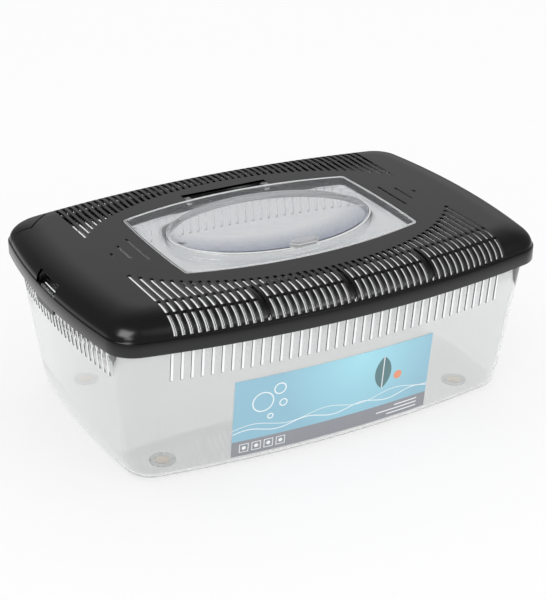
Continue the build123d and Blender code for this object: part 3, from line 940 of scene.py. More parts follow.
# --------------------------------------------------------------------------------------
# Hatch
# --------------------------------------------------------------------------------------
@dataclass
class Hatch:
    """The clear hatch: tray, raised oval lens, finger grip, strap and hinge."""

    material: bpy.types.Material
    highlight_material: bpy.types.Material
    shade_material: bpy.types.Material
    grip_material: bpy.types.Material
    sizes: Sizes = SIZES
    dome: float = 1.6 * MM
    grip_y: float = -66 * MM
    hinge_y: float = 91.5 * MM
    hinge_z: float = 169.8 * MM
    notch: float = 93 * MM

    def stations(self) -> Stations:
        """Plain stations with two extra ones at the edges of the strap."""
        front = sorted(list(np.linspace(0, 104 * MM, 40)) + [13.6 * MM, 14.4 * MM])
        end = np.linspace(0, 56 * MM, 24)
        return Stations(
            tuple((float(x), 0.0) for x in front), tuple((float(y), 0.0) for y in end),
            run_steps=2, corner_steps=6,
        )

    def oval(self, outline: np.ndarray, half_length: float, half_depth: float, z: float
             ) -> np.ndarray:
        """An ellipse whose points match the directions of an outline's points."""
        turn = np.arctan2(outline[:, 1] / self.sizes.hatch.half_depth,
                          outline[:, 0] / self.sizes.hatch.half_length)
        return np.stack(
            [half_length * np.cos(turn), half_depth * np.sin(turn), np.full(len(turn), z)],
            axis=1,
        )

    def build_tray(self) -> bpy.types.Object:
        """Sew tray and lens as one moulding, underside first."""
        s = self.sizes
        stations = self.stations()
        skin = Skin()
        low, high = s.hatch_low, s.plateau_z
        floor = low + s.hatch_wall
        base = stations.ring(s.hatch, low)
        half_length, half_depth = s.lens_length / 2, s.lens_depth / 2
        wall = s.hatch_wall
        # Hollow under the lens, from its crown down to the underside of the tray.
        crown = s.lens_top - wall
        for share in (0.04, 0.25, 0.5, 0.72, 0.88, 0.965):
            lift = self.dome * (1 - share**2)
            skin.add_ring(self.oval(base, half_length * share, half_depth * share, crown + lift))
        bend = s.lens_round - wall
        for step in range(1, 5):
            angle = math.pi / 2 * step / 4
            inset = wall + bend * (1 - math.sin(angle))
            z = crown - bend * (1 - math.cos(angle))
            skin.add_ring(self.oval(base, half_length - inset, half_depth - inset, z))
        skin.add_ring(self.oval(base, half_length - wall, half_depth - wall, low + 0.4 * MM))
        skin.add_ring(self.oval(base, half_length - wall + 0.4 * MM,
                                half_depth - wall + 0.4 * MM, low))
        start = self.oval(base, half_length - wall + 0.4 * MM, half_depth - wall + 0.4 * MM, low)
        stop = stations.ring(s.hatch.inset(0.5 * MM), low)
        for share in (0.33, 0.66, 1.0):
            skin.add_ring(start * (1 - share) + stop * share)
        # Outside of the tray wall and its rim.
        skin.add_ring(stations.ring(s.hatch, low + 0.5 * MM))
        skin.add_ring(stations.ring(s.hatch, high - 0.4 * MM))
        skin.add_ring(stations.ring(s.hatch.inset(0.12 * MM), high - 0.12 * MM))
        skin.add_ring(stations.ring(s.hatch.inset(0.4 * MM), high))
        skin.add_ring(stations.ring(s.hatch.inset(wall - 0.3 * MM), high))
        skin.add_ring(stations.ring(s.hatch.inset(wall), high - 0.3 * MM))
        foot = stations.ring(s.hatch.inset(wall), floor)
        foot = self.raise_strap(foot)
        for step in range(4):
            angle = math.pi / 2 * step / 3
            inset = wall + 1.0 * MM * (1 - math.cos(angle))
            ring = self.raise_strap(stations.ring(s.hatch.inset(inset), floor))
            ring[:, 2] += 1.0 * MM * (1 - math.sin(angle))
            skin.add_ring(ring)
        foot = ring
        # Floor of the tray, then up and over the lens.
        edge = self.oval(base, half_length + 0.6 * MM, half_depth + 0.6 * MM, floor)
        for share in (0.35, 0.7, 1.0):
            between = foot * (1 - share) + edge * share
            between[:, 2] = floor
            skin.add_ring(self.raise_strap(between))
        skin.add_ring(self.oval(base, half_length, half_depth, floor + 0.9 * MM))
        bend = s.lens_round
        for step in range(9):
            angle = math.pi / 2 * step / 8
            inset = bend * (1 - math.cos(angle))
            z = s.lens_top - bend * (1 - math.sin(angle))
            skin.add_ring(self.oval(base, half_length - inset, half_depth - inset, z))
        for share in (0.965, 0.88, 0.72, 0.5, 0.25, 0.04):
            lift = self.dome * (1 - share**2)
            skin.add_ring(self.oval(base, half_length * share, half_depth * share,
                                    s.lens_top + lift))
        skin.close_first()
        skin.close_last()
        return skin.build("hatch_tray", self.material, sharp=50.0)

    def build_rim(self, name: str, inset: float, radius: float,
                  material: bpy.types.Material, left_only: bool = False) -> bpy.types.Object:
        """A bead along the top of the tray wall.

        Args:
            name: Name of the bead.
            inset: How far its middle stands inside the outline.
            radius: Its radius.
            material: Its material.
            left_only: Let the bead shrink away everywhere but on the left side.

        Returns:
            The bead.
        """
        stations = self.stations()
        skin = Skin()
        z = self.sizes.plateau_z - 0.05 * MM
        middle = stations.ring(self.sizes.hatch.inset(inset), z)
        full = np.clip((-middle[:, :1] - 112 * MM) / (6 * MM), 0.02, 1.0) if left_only else 1.0
        for u, v in round_profile(radius, 10, 0.0, 324.0):
            ring = stations.ring(self.sizes.hatch.inset(inset - u), z + v)
            skin.add_ring(middle + (ring - middle) * full)
        skin.sew(skin.rings[-1], skin.rings[0])
        return skin.build(name, material)

    def build_lens_highlight(self) -> bpy.types.Object:
        """A bead of painted highlight round the top of the lens, full at the front and fine at the back.
        """
        s = self.sizes
        base = self.stations().ring(s.hatch, 0.0)
        turn = np.arctan2(base[:, 1] / s.hatch.half_depth, base[:, 0] / s.hatch.half_length)
        reach = 0.2 * MM + 0.75 * MM * np.clip(-np.sin(turn) + 0.15, 0.0, 1.0) ** 0.6
        half_length, half_depth = s.lens_length / 2 - 1.1 * MM, s.lens_depth / 2 - 1.1 * MM
        skin = Skin()
        for u, v in round_profile(1.0, 12, 0.0, 330.0):
            skin.add_ring(np.stack([
                (half_length + reach * u) * np.cos(turn),
                (half_depth + reach * u) * np.sin(turn),
                s.lens_top - 0.9 * MM + reach * v,
            ], axis=1))
        skin.sew(skin.rings[-1], skin.rings[0])
        return skin.build("lens_edge", self.highlight_material)

    def raise_strap(self, ring: np.ndarray) -> np.ndarray:
        """Lift the part of a floor ring that runs under the strap at the front."""
        ring = ring.copy()
        under = (np.abs(ring[:, 0]) < 14 * MM) & (ring[:, 1] < 0)
        ring[under, 2] += 0.8 * MM
        return ring

    def build_grip(self) -> list[bpy.types.Object]:
        """The faceted finger grip on the front of the lens, with painted highlights on its edges."""
        half, deep, tip = 15.5 * MM, 6 * MM, 6 * MM
        skin = Skin()
        foot_z = self.sizes.lens_top + self.dome * 0.12 + 0.03 * MM

        def ring(shrink: float, z: float) -> np.ndarray:
            h, d = half - shrink, deep - shrink
            corner = ((-h, 0), (-h + tip, -d), (h - tip, -d), (h, 0), (h - tip, d), (-h + tip, d))
            return np.array([(x, self.grip_y + y, z) for x, y in corner])

        top = 179 * MM
        skin.add_ring(ring(0.3 * MM, foot_z - 0.3 * MM))
        skin.add_ring(ring(0.0, foot_z))
        skin.add_ring(ring(0.0, top - 2 * MM))
        skin.add_ring(ring(2 * MM, top - 0.2 * MM))
        skin.add_ring(ring(2.4 * MM, top))
        skin.close_first()
        skin.close_last()
        grip = skin.build("hatch_grip", self.grip_material, sharp=20.0)
        beads = []
        rings = ((0.3, foot_z + 0.8 * MM, 0.35), (0.5, top - 1.6 * MM, 0.4), (2.5, top, 0.4))
        for index, (shrink, z, radius) in enumerate(rings):
            bead = Skin()
            for u, v in round_profile(radius * MM, 8, 0.0, 315.0):
                bead.add_ring(ring(shrink * MM - u, z - radius * MM + v))
            bead.sew(bead.rings[-1], bead.rings[0])
            beads.append(bead.build(f"hatch_grip_highlight_{index + 1}", self.highlight_material))
        return [grip, *beads]

    def build_hinge(self, side: int) -> bpy.types.Object:
        """One hinge arm with its barrel and pin.

        Args:
            side: -1 for the left arm, 1 for the right one.

        Returns:
            The arm.
        """
        skin = Skin()
        end = self.notch / 2 - 0.4 * MM
        start = end - 6 * MM
        wall_y = self.sizes.hatch.front_y(end) + 0.03 * MM
        radius = 2.6 * MM
        arc = round_profile(radius, 12, -90.0, 90.0)
        profile = [(wall_y, self.hinge_z - radius)]
        profile += [(self.hinge_y + u, self.hinge_z + v) for u, v in arc]
        profile += [(wall_y, self.hinge_z + radius)]
        count = len(profile)

        def ring(x: float, shrink: float = 0.0) -> np.ndarray:
            middle = np.array([self.hinge_y, self.hinge_z])
            flat = np.array(profile)
            flat = middle + (flat - middle) * (1 - shrink)
            return np.array([(side * x, y, min(z, self.sizes.plateau_z)) for y, z in flat])

        skin.add_ring(ring(start, 0.08))
        skin.add_ring(ring(start + 0.3 * MM))
        skin.add_ring(ring(end - 0.3 * MM))
        skin.add_ring(ring(end, 0.08))
        pin = [
            (math.cos(2 * math.pi * i / count), math.sin(2 * math.pi * i / count))
            for i in range(count)
        ]
        turn = math.atan2(profile[0][1] - self.hinge_z, profile[0][0] - self.hinge_y)
        for x, reach in ((end, 1.2 * MM), (end + 2.7 * MM, 1.2 * MM), (end + 3 * MM, 0.9 * MM)):
            points = []
            for u, v in pin:
                y = u * math.cos(turn) - v * math.sin(turn)
                z = u * math.sin(turn) + v * math.cos(turn)
                points.append((side * x, self.hinge_y + reach * y, self.hinge_z + reach * z))
            skin.add_ring(np.array(points))
        skin.close_first()
        skin.close_last()
        return skin.build("hatch_hinge_" + ("left" if side < 0 else "right"), self.material)

    def build(self) -> list[bpy.types.Object]:
        """Build the hatch and put it on the hatch body."""
        tray = self.build_tray()
        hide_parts("hatch")
        made = [tray, *self.build_grip(), self.build_hinge(-1), self.build_hinge(1)]
        # Painted highlights on the rim's two rounded edges, a painted dark line between them on the left
        # side, and a painted highlight round the lens top.
        edges = [
            self.build_rim("hatch_rim_outer_highlight", 0.35 * MM, 0.33 * MM, self.highlight_material),
            self.build_rim("hatch_rim_inner_highlight", 1.9 * MM, 0.35 * MM, self.highlight_material),
            self.build_rim("hatch_rim_shade", 1.13 * MM, 0.52 * MM, self.shade_material, True),
            self.build_lens_highlight(),
        ]
        for piece in made + edges:
            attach(piece, "hatch")
        return made + edges


# --------------------------------------------------------------------------------------
# Lid
# --------------------------------------------------------------------------------------
def carve(thing: bpy.types.Object, cutters: Sequence[bpy.types.Object]) -> None:
    """Cut closed meshes out of an object and throw the cutters away.

    Args:
        thing: Object to cut.
        cutters: Objects to take away from it.
    """
    for cutter in cutters:
        cut = thing.modifiers.new("cut", "BOOLEAN")
        cut.operation = "DIFFERENCE"
        cut.solver = "EXACT"
        cut.object = cutter
    bake(thing)
    for cutter in cutters:
        bpy.data.objects.remove(cutter, do_unlink=True)


def bake(thing: bpy.types.Object) -> None:
    """Replace an object's mesh by what its modifiers make of it, and drop them."""
    bpy.context.view_layer.update()
    graph = bpy.context.evaluated_depsgraph_get()
    mesh = bpy.data.meshes.new_from_object(thing.evaluated_get(graph))
    thing.modifiers.clear()
    old = thing.data
    thing.data = mesh
    bpy.data.meshes.remove(old)


@dataclass
class VentNodes:
    """Geometry Nodes tree that cuts the vent slots and sets ties across them.

    Attributes:
        pitch: Distance between slots.
        count: Slots along one side.
    """

    sizes: Sizes = SIZES
    pitch: float = 7 * MM
    count: int = 49
    width: float = 3.5 * MM
    field_length: float = 184 * MM
    field_depth: float = 116 * MM
    foot_z: float = 153.8 * MM
    notch_half: float = 50 * MM
    notch_inner: float = 108.5 * MM
    tie_width: float = 3.0 * MM
    tie_height: float = 1.5 * MM
    ties: tuple[tuple[float, float], ...] = ((17 * MM, 168.9 * MM), (37 * MM, 171.5 * MM))
    veins: tuple[tuple[float, float, float], ...] = ()
    vein_width: float = 0.45 * MM
    vein_length: float = 0.7 * MM
    tree: bpy.types.NodeTree | None = None

    def add(self, kind: str) -> bpy.types.Node:
        """Add a node of the kind."""
        return self.tree.nodes.new(kind)

    def link(self, start: bpy.types.NodeSocket, end: bpy.types.NodeSocket) -> None:
        """Join two sockets."""
        self.tree.links.new(start, end)

    def blocks(self, points: bpy.types.NodeSocket, place: Sequence[object],
               size: Sequence[object]) -> bpy.types.NodeSocket:
        """Blocks on a row of points.

        Args:
            points: The points.
            place: X, Y and Z of each block's middle, sockets or numbers.
            size: X, Y and Z size of each block, sockets or numbers.

        Returns:
            The blocks as real meshes.
        """
        parts = []
        for values in (place, size):
            merge = self.add("ShaderNodeCombineXYZ")
            for socket, value in zip(merge.inputs, values):
                if isinstance(value, bpy.types.NodeSocket):
                    self.link(value, socket)
                else:
                    socket.default_value = value
            parts.append(merge.outputs[0])
        move = self.add("GeometryNodeSetPosition")
        self.link(points, move.inputs["Geometry"])
        self.link(parts[0], move.inputs["Position"])
        unit = self.add("GeometryNodeMeshCube")
        put = self.add("GeometryNodeInstanceOnPoints")
        self.link(move.outputs[0], put.inputs["Points"])
        self.link(unit.outputs["Mesh"], put.inputs["Instance"])
        # The size is taken at the row's first places, before the points were moved.
        keep = self.add("GeometryNodeCaptureAttribute")
        keep.capture_items.new("VECTOR", "size")
        self.link(points, keep.inputs[0])
        self.link(parts[1], keep.inputs[1])
        self.link(keep.outputs[0], move.inputs["Geometry"])
        self.link(keep.outputs[1], put.inputs["Scale"])
        real = self.add("GeometryNodeRealizeInstances")
        self.link(put.outputs[0], real.inputs[0])
        return real.outputs[0]

    def build(self, material: bpy.types.Material) -> bpy.types.NodeTree:
        """Build the tree.

        Args:
            material: Material of the finished lid.

        Returns:
            The tree, with the slot width as a named input.
        """
        self.tree = bpy.data.node_groups.new("vent_field", "GeometryNodeTree")
        face = self.tree.interface
        face.new_socket("Geometry", in_out="INPUT", socket_type="NodeSocketGeometry")
        face.new_socket("Slot Width", in_out="INPUT", socket_type="NodeSocketFloat")
        face.new_socket("Geometry", in_out="OUTPUT", socket_type="NodeSocketGeometry")
        entry, leave = self.add("NodeGroupInput"), self.add("NodeGroupOutput")
        graph = Graph(self.tree)
        row = self.add("GeometryNodeMeshLine")
        row.mode = "OFFSET"
        row.inputs["Count"].default_value = self.count
        start = -(self.count - 1) / 2 * self.pitch
        row.inputs["Start Location"].default_value = (start, 0.0, 0.0)
        row.inputs["Offset"].default_value = (self.pitch, 0.0, 0.0)
        spot = self.add("GeometryNodeInputPosition")
        split = self.add("ShaderNodeSeparateXYZ")
        self.link(spot.outputs[0], split.inputs[0])
        x = split.outputs["X"]
        square = graph.both(x, x)
        radius = self.sizes.lid.front_radius
        bow = graph.math("SQRT", graph.math("SUBTRACT", radius**2, square))
        edge = graph.math("ADD", bow, self.sizes.lid.half_depth - radius)
        outer = graph.math("ADD", edge, 1 * MM)
        reach = graph.math("SQRT", graph.math(
            "SUBTRACT", 1.0, graph.math("DIVIDE", square, self.field_length**2)))
        inner = graph.math("MULTIPLY", reach, self.field_depth)
        near = graph.math("LESS_THAN", graph.math("ABSOLUTE", x), self.notch_half)
        inner_back = graph.math("MAXIMUM", inner, graph.math("MULTIPLY", near, self.notch_inner))
        high = self.sizes.plateau_z + 1 * MM
        middle_z, tall = (high + self.foot_z) / 2, high - self.foot_z
        blades = []
        for side, start_y in ((-1, inner), (1, inner_back)):
            middle = graph.math("MULTIPLY", graph.math("ADD", outer, start_y), side / 2)
            length = graph.math("SUBTRACT", outer, start_y)
            blades.append(self.blocks(
                row.outputs[0], (x, middle, middle_z), (entry.outputs["Slot Width"], length, tall)
            ))
        cut = self.add("GeometryNodeMeshBoolean")
        cut.operation = "DIFFERENCE"
        cut.solver = "EXACT"
        self.link(entry.outputs["Geometry"], cut.inputs[0])
        for blade in blades:
            self.link(blade, cut.inputs[1])
        join = self.add("GeometryNodeJoinGeometry")
        self.link(cut.outputs[0], join.inputs[0])
        wide = graph.math("ADD", entry.outputs["Slot Width"], 0.8 * MM)
        for inset, top in self.ties:
            for side in (-1, 1):
                off = graph.math("SUBTRACT", edge, inset + self.tie_width / 2)
                middle = graph.math("MULTIPLY", off, side)
                self.link(self.blocks(
                    row.outputs[0], (x, middle, top - self.tie_height / 2),
                    (wide, self.tie_width, self.tie_height),
                ), join.inputs[0])
        vein_x = graph.math("ADD", x, 0.2 * MM)
        for inset, top, low in self.veins:
            for side in (-1, 1):
                middle = graph.math("MULTIPLY", graph.math("SUBTRACT", edge, inset), side)
                self.link(self.blocks(
                    row.outputs[0], (vein_x, middle, (top + low) / 2),
                    (self.vein_width, self.vein_length, top - low),
                ), join.inputs[0])
        real = self.add("GeometryNodeRealizeInstances")
        paint = self.add("GeometryNodeSetMaterial")
        paint.inputs["Material"].default_value = material
        self.link(join.outputs[0], real.inputs[0])
        self.link(real.outputs[0], paint.inputs["Geometry"])
        self.link(paint.outputs[0], leave.inputs[0])
        return self.tree

    def apply(self, thing: bpy.types.Object, material: bpy.types.Material) -> None:
        """Run the tree on an object and keep the result as its mesh."""
        tree = self.build(material)
        run = thing.modifiers.new("vents", "NODES")
        run.node_group = tree
        for item in tree.interface.items_tree:
            if item.item_type == "SOCKET" and item.in_out == "INPUT" and item.name == "Slot Width":
                run[item.identifier] = self.width
        bake(thing)


@dataclass
class Lid:
    """The black lid: bowed shell with vent field, hatch frame, hinge notch and end clips."""

    material: bpy.types.Material
    sizes: Sizes = SIZES
    wall: float = 2.4 * MM
    skirt_low: float = 139.5 * MM
    ledge_z: float = 152.5 * MM
    ledge: float = 1.2 * MM
    shoulder: float = 31.8 * MM
    seat_z: float = 148.7 * MM
    seat_top: float = 150.3 * MM
    seat_inset: float = 9.6 * MM
    clearance: float = 0.7 * MM
    frame_wall: float = 2 * MM
    seat_width: float = 3 * MM
    hatch_seat: float = 164.5 * MM
    frame_low: float = 162.9 * MM
    frame_foot: float = 159.8 * MM
    notch_half: float = 46.5 * MM
    notch_back: float = 99.5 * MM
    notch_floor: float = 163.6 * MM
    cheek: float = 4 * MM
    window_half: float = 21.5 * MM
    pocket_wall: float = 1.8 * MM
    pocket_x: float = 219.6 * MM

    @property
    def rise(self) -> float:
        """Height of the shoulder."""
        return self.sizes.plateau_z - self.ledge_z

    def section(self, angle: float, depth: float) -> tuple[BowedOutline, float]:
        """Outline and height of the shoulder at an angle, moved in by depth."""
        distance = self.ledge + self.shoulder * (1 - math.cos(angle)) + depth
        z = self.ledge_z + (self.rise - depth) * math.sin(angle)
        corner = self.sizes.lid.corner_radius - 0.35 * distance
        return self.sizes.lid.inset(distance, corner), z

    def height(self, inset: float, depth: float = 0.0) -> float:
        """Height of the shoulder at a distance in from the lid's outline."""
        share = 1 - (inset - self.ledge - depth) / self.shoulder
        share = min(max(share, 0.0), 1.0)
        return self.ledge_z + (self.rise - depth) * math.sqrt(1 - share**2)

    def inset_at(self, x: float, y: float) -> float:
        """How far a point of the shoulder lies in from the lid's outline."""
        lid = self.sizes.lid
        front = lid.front_radius - math.hypot(x, abs(y) + lid.front_radius - lid.half_depth)
        end = lid.end_radius - math.hypot(abs(x) + lid.end_radius - lid.half_length, y)
        return min(front, end)

    def build_shell(self) -> bpy.types.Object:
        """Sew the shell from rings: outside up, down the hatch frame and back inside."""
        s = self.sizes
        lid = s.lid
        stations = Stations(spread(168 * MM, 57), spread(104 * MM, 33), corner_steps=14)
        skin = Skin()

        def row(outline: BowedOutline, z: float) -> None:
            skin.add_ring(stations.ring(outline, z))

        low = self.skirt_low
        row(lid.inset(self.wall), low + 0.4 * MM)
        row(lid.inset(self.wall - 0.4 * MM), low)
        row(lid.inset(0.5 * MM), low)
        row(lid.inset(0.15 * MM), low + 0.15 * MM)
        row(lid, low + 0.5 * MM)
        row(lid, self.ledge_z - 0.45 * MM)
        row(lid.inset(0.13 * MM), self.ledge_z - 0.13 * MM)
        row(lid.inset(0.45 * MM), self.ledge_z)
        row(lid.inset(self.ledge - 0.25 * MM), self.ledge_z)
        for step in range(17):
            outline, z = self.section(math.pi / 2 * (0.02 + 0.98 * step / 16), 0.0)
            row(outline, z)
        outer = stations.ring(outline, s.plateau_z)
        opening = s.hatch.inset(-self.clearance, s.hatch.corner_radius + self.clearance)
        inner = stations.ring(opening.inset(-0.9 * MM), s.plateau_z)
        for share in (0.04, 0.35, 0.7, 1.0):
            skin.add_ring(outer * (1 - share) + inner * share)
        row(opening.inset(-0.35 * MM), s.plateau_z)
        row(opening.inset(-0.1 * MM), s.plateau_z - 0.1 * MM)
        row(opening, s.plateau_z - 0.35 * MM)
        row(opening, self.hatch_seat)
        row(opening.inset(self.seat_width, 5 * MM), self.hatch_seat)
        row(opening.inset(self.seat_width, 5 * MM), self.frame_low)
        row(opening, self.frame_low)
        row(opening, self.frame_foot)
        row(opening.inset(-self.frame_wall), self.frame_foot)
        under = s.plateau_z - self.wall
        row(opening.inset(-self.frame_wall), under)
        start = stations.ring(opening.inset(-self.frame_wall), under)
        stop = stations.ring(self.section(math.pi / 2, self.wall)[0], under)
        for share in (0.5, 0.96):
            skin.add_ring(start * (1 - share) + stop * share)
        for step in range(13):
            outline, z = self.section(math.pi / 2 * (1 - step / 12), self.wall)
            row(outline, z)
        row(lid.inset(self.ledge + self.wall), self.seat_top)
        row(lid.inset(self.seat_inset), self.seat_top)
        row(lid.inset(self.seat_inset), self.seat_z)
        row(lid.inset(self.wall), self.seat_z)
        skin.sew(skin.rings[-1], skin.rings[0])
        return skin.build("lid_shell", self.material)

    def prism(self, name: str, corners: Sequence[tuple[float, float]], low: float, high: float,
              axis: str = "z") -> bpy.types.Object:
        """A closed prism.

        Args:
            name: Object name.
            corners: Corners of its section: x, y along z; x, z along y; y, z along x.
            low: Start along the axis.
            high: End along the axis.
            axis: Axis it is drawn along.

        Returns:
            The prism.
        """
        place = {
            "z": lambda u, v, w: (u, v, w),
            "y": lambda u, v, w: (u, w, v),
            "x": lambda u, v, w: (w, u, v),
        }[axis]
        points, faces = prism_points(corners, place, low, high)
        mesh = bpy.data.meshes.new(name)
        mesh.from_pydata(points, [], faces)
        return finish_mesh(name, mesh, self.material, 30.0)

    def slab(self, name: str, x: tuple[float, float], y: tuple[float, float],
             z: tuple[float, float]) -> bpy.types.Object:
        """A block given by its faces, for cutting."""
        corners = ((x[0], y[0]), (x[1], y[0]), (x[1], y[1]), (x[0], y[1]))
        return self.prism(name, corners, z[0], z[1])

    def groove(self, name: str, start: tuple[float, float], stop: tuple[float, float],
               width: float = 1.7 * MM, depth: float = 1.2 * MM) -> bpy.types.Object:
        """A cutter for a groove that follows the shoulder from start to stop."""
        run = Vector(stop) - Vector(start)
        along = run.normalized()
        across = Vector((-along.y, along.x)) * width / 2
        steps = max(int(run.length / (2 * MM)), 2)
        points: list[tuple[float, float, float]] = []
        for step in range(steps + 1):
            share = step / steps
            reach = Vector(start) + run * share
            reach += along * width * (0.5 if step == steps else -0.5 if step == 0 else 0.0)
            floor = self.height(self.inset_at(reach.x, reach.y)) - depth
            for hand in (-1, 1):
                spot = reach + across * hand
                points.append((spot.x, spot.y, floor))
                points.append((spot.x, spot.y, self.sizes.plateau_z + 4 * MM))
        faces: list[tuple[int, ...]] = [(0, 1, 3, 2)]
        for step in range(steps):
            a = step * 4
            faces += [(a, a + 4, a + 5, a + 1), (a + 2, a + 3, a + 7, a + 6),
                      (a, a + 2, a + 6, a + 4), (a + 1, a + 5, a + 7, a + 3)]
        last = steps * 4
        faces.append((last, last + 2, last + 3, last + 1))
        mesh = bpy.data.meshes.new(name)
        mesh.from_pydata(points, [], faces)
        return finish_mesh(name, mesh, self.material)

    def side_slot(self, x: float, length: float) -> bpy.types.Object:
        """A cutter for one narrow slot beside the hatch."""
        radius = 1.1 * MM
        half = length / 2 - radius
        corners = [(x + u, half + v) for u, v in round_profile(radius, 8, 0.0, 180.0)]
        corners += [(x + u, -half + v) for u, v in round_profile(radius, 8, 180.0, 360.0)]
        return self.prism("side_slot", corners, 165 * MM, 176 * MM)

    def cutters(self) -> list[bpy.types.Object]:
        """Everything that is cut from the shell one by one."""
        made = [self.slab("notch", (-self.notch_half, self.notch_half),
                          (70 * MM, self.notch_back), (self.notch_floor, 180 * MM))]
        for x, length in ((137.5, 53.5), (150.8, 33.5), (163.2, 6.5)):
            for side in (-1, 1):
                made.append(self.side_slot(side * x * MM, length * MM))
        wide = (-self.window_half, self.window_half)
        inner = self.sizes.lid.half_length - self.wall
        for side in (-1, 1):
            near = sorted((side * self.pocket_x, side * 240 * MM))
            made.append(self.slab("window", tuple(near), wide, (153.1 * MM, 163.5 * MM)))
            near = sorted((side * self.pocket_x, side * (inner + 1.3 * MM)))
            made.append(self.slab("window_foot", tuple(near), wide, (147 * MM, 154.5 * MM)))
        corner = [(-180 * MM, 165 * MM), (-180 * MM, 121 * MM), (-203 * MM, 98 * MM),
                  (-232 * MM, 118.5 * MM)]
        for start, stop in zip(corner[:-1], corner[1:]):
            made.append(self.groove("groove", start, stop))
        return made

    def build_notch(self) -> bpy.types.Object:
        """The pocket behind the hatch, with the holes for the hinge pins."""
        half, back = self.notch_half, self.notch_back
        front = self.sizes.hatch.front_y(half) - self.seat_width
        pocket = self.slab("hinge_pocket", (-half - self.cheek, half + self.cheek),
                           (front, back + self.frame_wall),
                           (self.frame_low - 0.02 * MM, self.sizes.plateau_z - 0.05 * MM))
        room = self.slab("room", (-half, half), (60 * MM, back), (self.notch_floor, 180 * MM))
        s = self.sizes
        opening = s.hatch.inset(-self.clearance, s.hatch.corner_radius + self.clearance)
        skin = Skin()
        stations = Stations(spread(104 * MM, 30), spread(56 * MM, 12), corner_steps=5)
        for z in (self.hatch_seat, 180 * MM):
            skin.add_ring(stations.ring(opening, z))
        skin.close_first()
        skin.close_last()
        swing = skin.build("swing", self.material)
        skin = Skin()
        inner = opening.inset(self.seat_width, 5 * MM)
        for z in (150 * MM, self.hatch_seat + 1 * MM):
            skin.add_ring(stations.ring(inner, z))
        skin.close_first()
        skin.close_last()
        below = skin.build("below", self.material)
        reach = half + 3.5 * MM
        corners = [(91.5 * MM + u, 169.8 * MM + v)
                   for u, v in round_profile(1.28 * MM, 24, 0.0, 345.0)]
        pin = self.prism("pin_hole", corners, -reach, reach, axis="x")
        carve(pocket, [room, swing, below, pin])
        return pocket

    def build_tongue(self) -> bpy.types.Object:
        """The small half-round tongue at the back of the hatch seat."""
        back = self.sizes.hatch.half_depth - self.seat_width
        corners = [(7.5 * u, 4 * v) for u, v in round_profile(1.0 * MM, 18, 180.0, 360.0)]
        corners = [(u, back + 1 * MM + v) for u, v in corners]
        return self.prism("seat_tongue", corners, self.frame_low, self.hatch_seat)

    def build_front_rib(self) -> bpy.types.Object:
        """The deeper rib under the front of the hatch frame, as long as the notch's pocket."""
        reach = self.notch_half + self.cheek
        back = self.sizes.hatch.front_y(reach)
        front = self.sizes.hatch.half_depth + self.clearance + self.frame_wall
        return self.slab("frame_rib", (-reach, reach), (-front, -back),
                         (154 * MM, self.frame_low + 0.4 * MM))

    def gusset(self, x: float, side: int) -> bpy.types.Object:
        """A plate behind a slot, its edge along the shoulder."""
        edge = self.sizes.lid.front_y(x)
        deep = 3.4 * MM
        insets = [4 * MM + 38 * MM * (step / 14) ** 1.5 for step in range(15)]
        corners = [(side * (edge - i), self.height(i) - 1.6 * MM) for i in insets]
        for inset in reversed(insets):
            low = max(self.height(inset) - 1.6 * MM - deep, self.seat_z + 0.5 * MM)
            corners.append((side * (edge - inset - 0.35 * deep), low))
        return self.prism("gusset", corners, x - 1.2 * MM, x + 1.2 * MM, axis="x")

    def pocket(self, side: int) -> bpy.types.Object:
        """The walls behind an end window."""
        inner = self.sizes.lid.half_length - self.wall / 2
        profile = []
        for step in range(9):
            x = self.pocket_x - self.pocket_wall + (inner - self.pocket_x + self.pocket_wall) * step / 8
            profile.append((side * x, self.height(230 * MM - x) - 0.9 * MM))
        profile.append((side * inner, self.seat_z))
        profile.append((side * (self.pocket_x - self.pocket_wall), self.seat_z))
        wide = self.window_half + self.pocket_wall
        walls = self.prism("end_pocket_" + ("left" if side < 0 else "right"), profile, -wide, wide,
                           axis="y")
        near = sorted((side * self.pocket_x, side * 240 * MM))
        room = self.slab("room", tuple(near), (-self.window_half, self.window_half),
                         (140 * MM, 175 * MM))
        carve(walls, [room])
        return walls

    def clip(self, side: int) -> bpy.types.Object:
        """The springy clip below an end window, its lower corners chamfered; its two cheeks are built by
        cheek_plate.
        """
        outer, inner = 229.7 * MM, 227.9 * MM
        half = self.window_half - 1.5 * MM
        low, slope = self.skirt_low - 5.5 * MM, 1.6 * MM
        face = [(-half, self.skirt_low + 2 * MM), (-half, low + slope), (-half + slope, low),
                (half - slope, low), (half, low + slope), (half, self.skirt_low + 2 * MM)]
        near = sorted((side * inner, side * outer))
        return self.prism("end_clip_" + ("left" if side < 0 else "right"), face, *near, axis="x")

    def cheek_plate(self, side: int, hand: int) -> bpy.types.Object:
        """One of the two plates that hold a clip to the skirt."""
        near = sorted((hand * (self.window_half - self.pocket_wall / 2),
                       hand * (self.window_half + self.pocket_wall)))
        across = sorted((side * 224.4 * MM, side * (230 * MM - self.wall / 2)))
        return self.slab("clip_cheek", tuple(across), tuple(near), (143 * MM, self.ledge_z - 0.5 * MM))

    def build(self) -> list[bpy.types.Object]:
        """Build the lid and put it on the lid body."""
        shell = self.build_shell()
        carve(shell, self.cutters())
        steps = [float(inset) for inset in np.linspace(2.4 * MM, 15.0 * MM, 10)]
        tops = [self.height(inset) - 0.5 * MM for inset in steps]
        veins = tuple(zip(steps, tops, [153.0 * MM, *(top - 0.4 * MM for top in tops)]))
        VentNodes(veins=veins).apply(shell, self.material)
        shell.data = shell.data.copy()
        shade(shell, 32.0)
        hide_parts("lid")
        made = [shell, self.build_notch(), self.build_tongue(), self.build_front_rib()]
        for x in (-84 * MM, 0.0, 84 * MM):
            made += [self.gusset(x, -1), self.gusset(x, 1)]
        for side in (-1, 1):
            made += [self.pocket(side), self.clip(side)]
            made += [self.cheek_plate(side, hand) for hand in (-1, 1)]
        for piece in made:
            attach(piece, "lid")
        return made


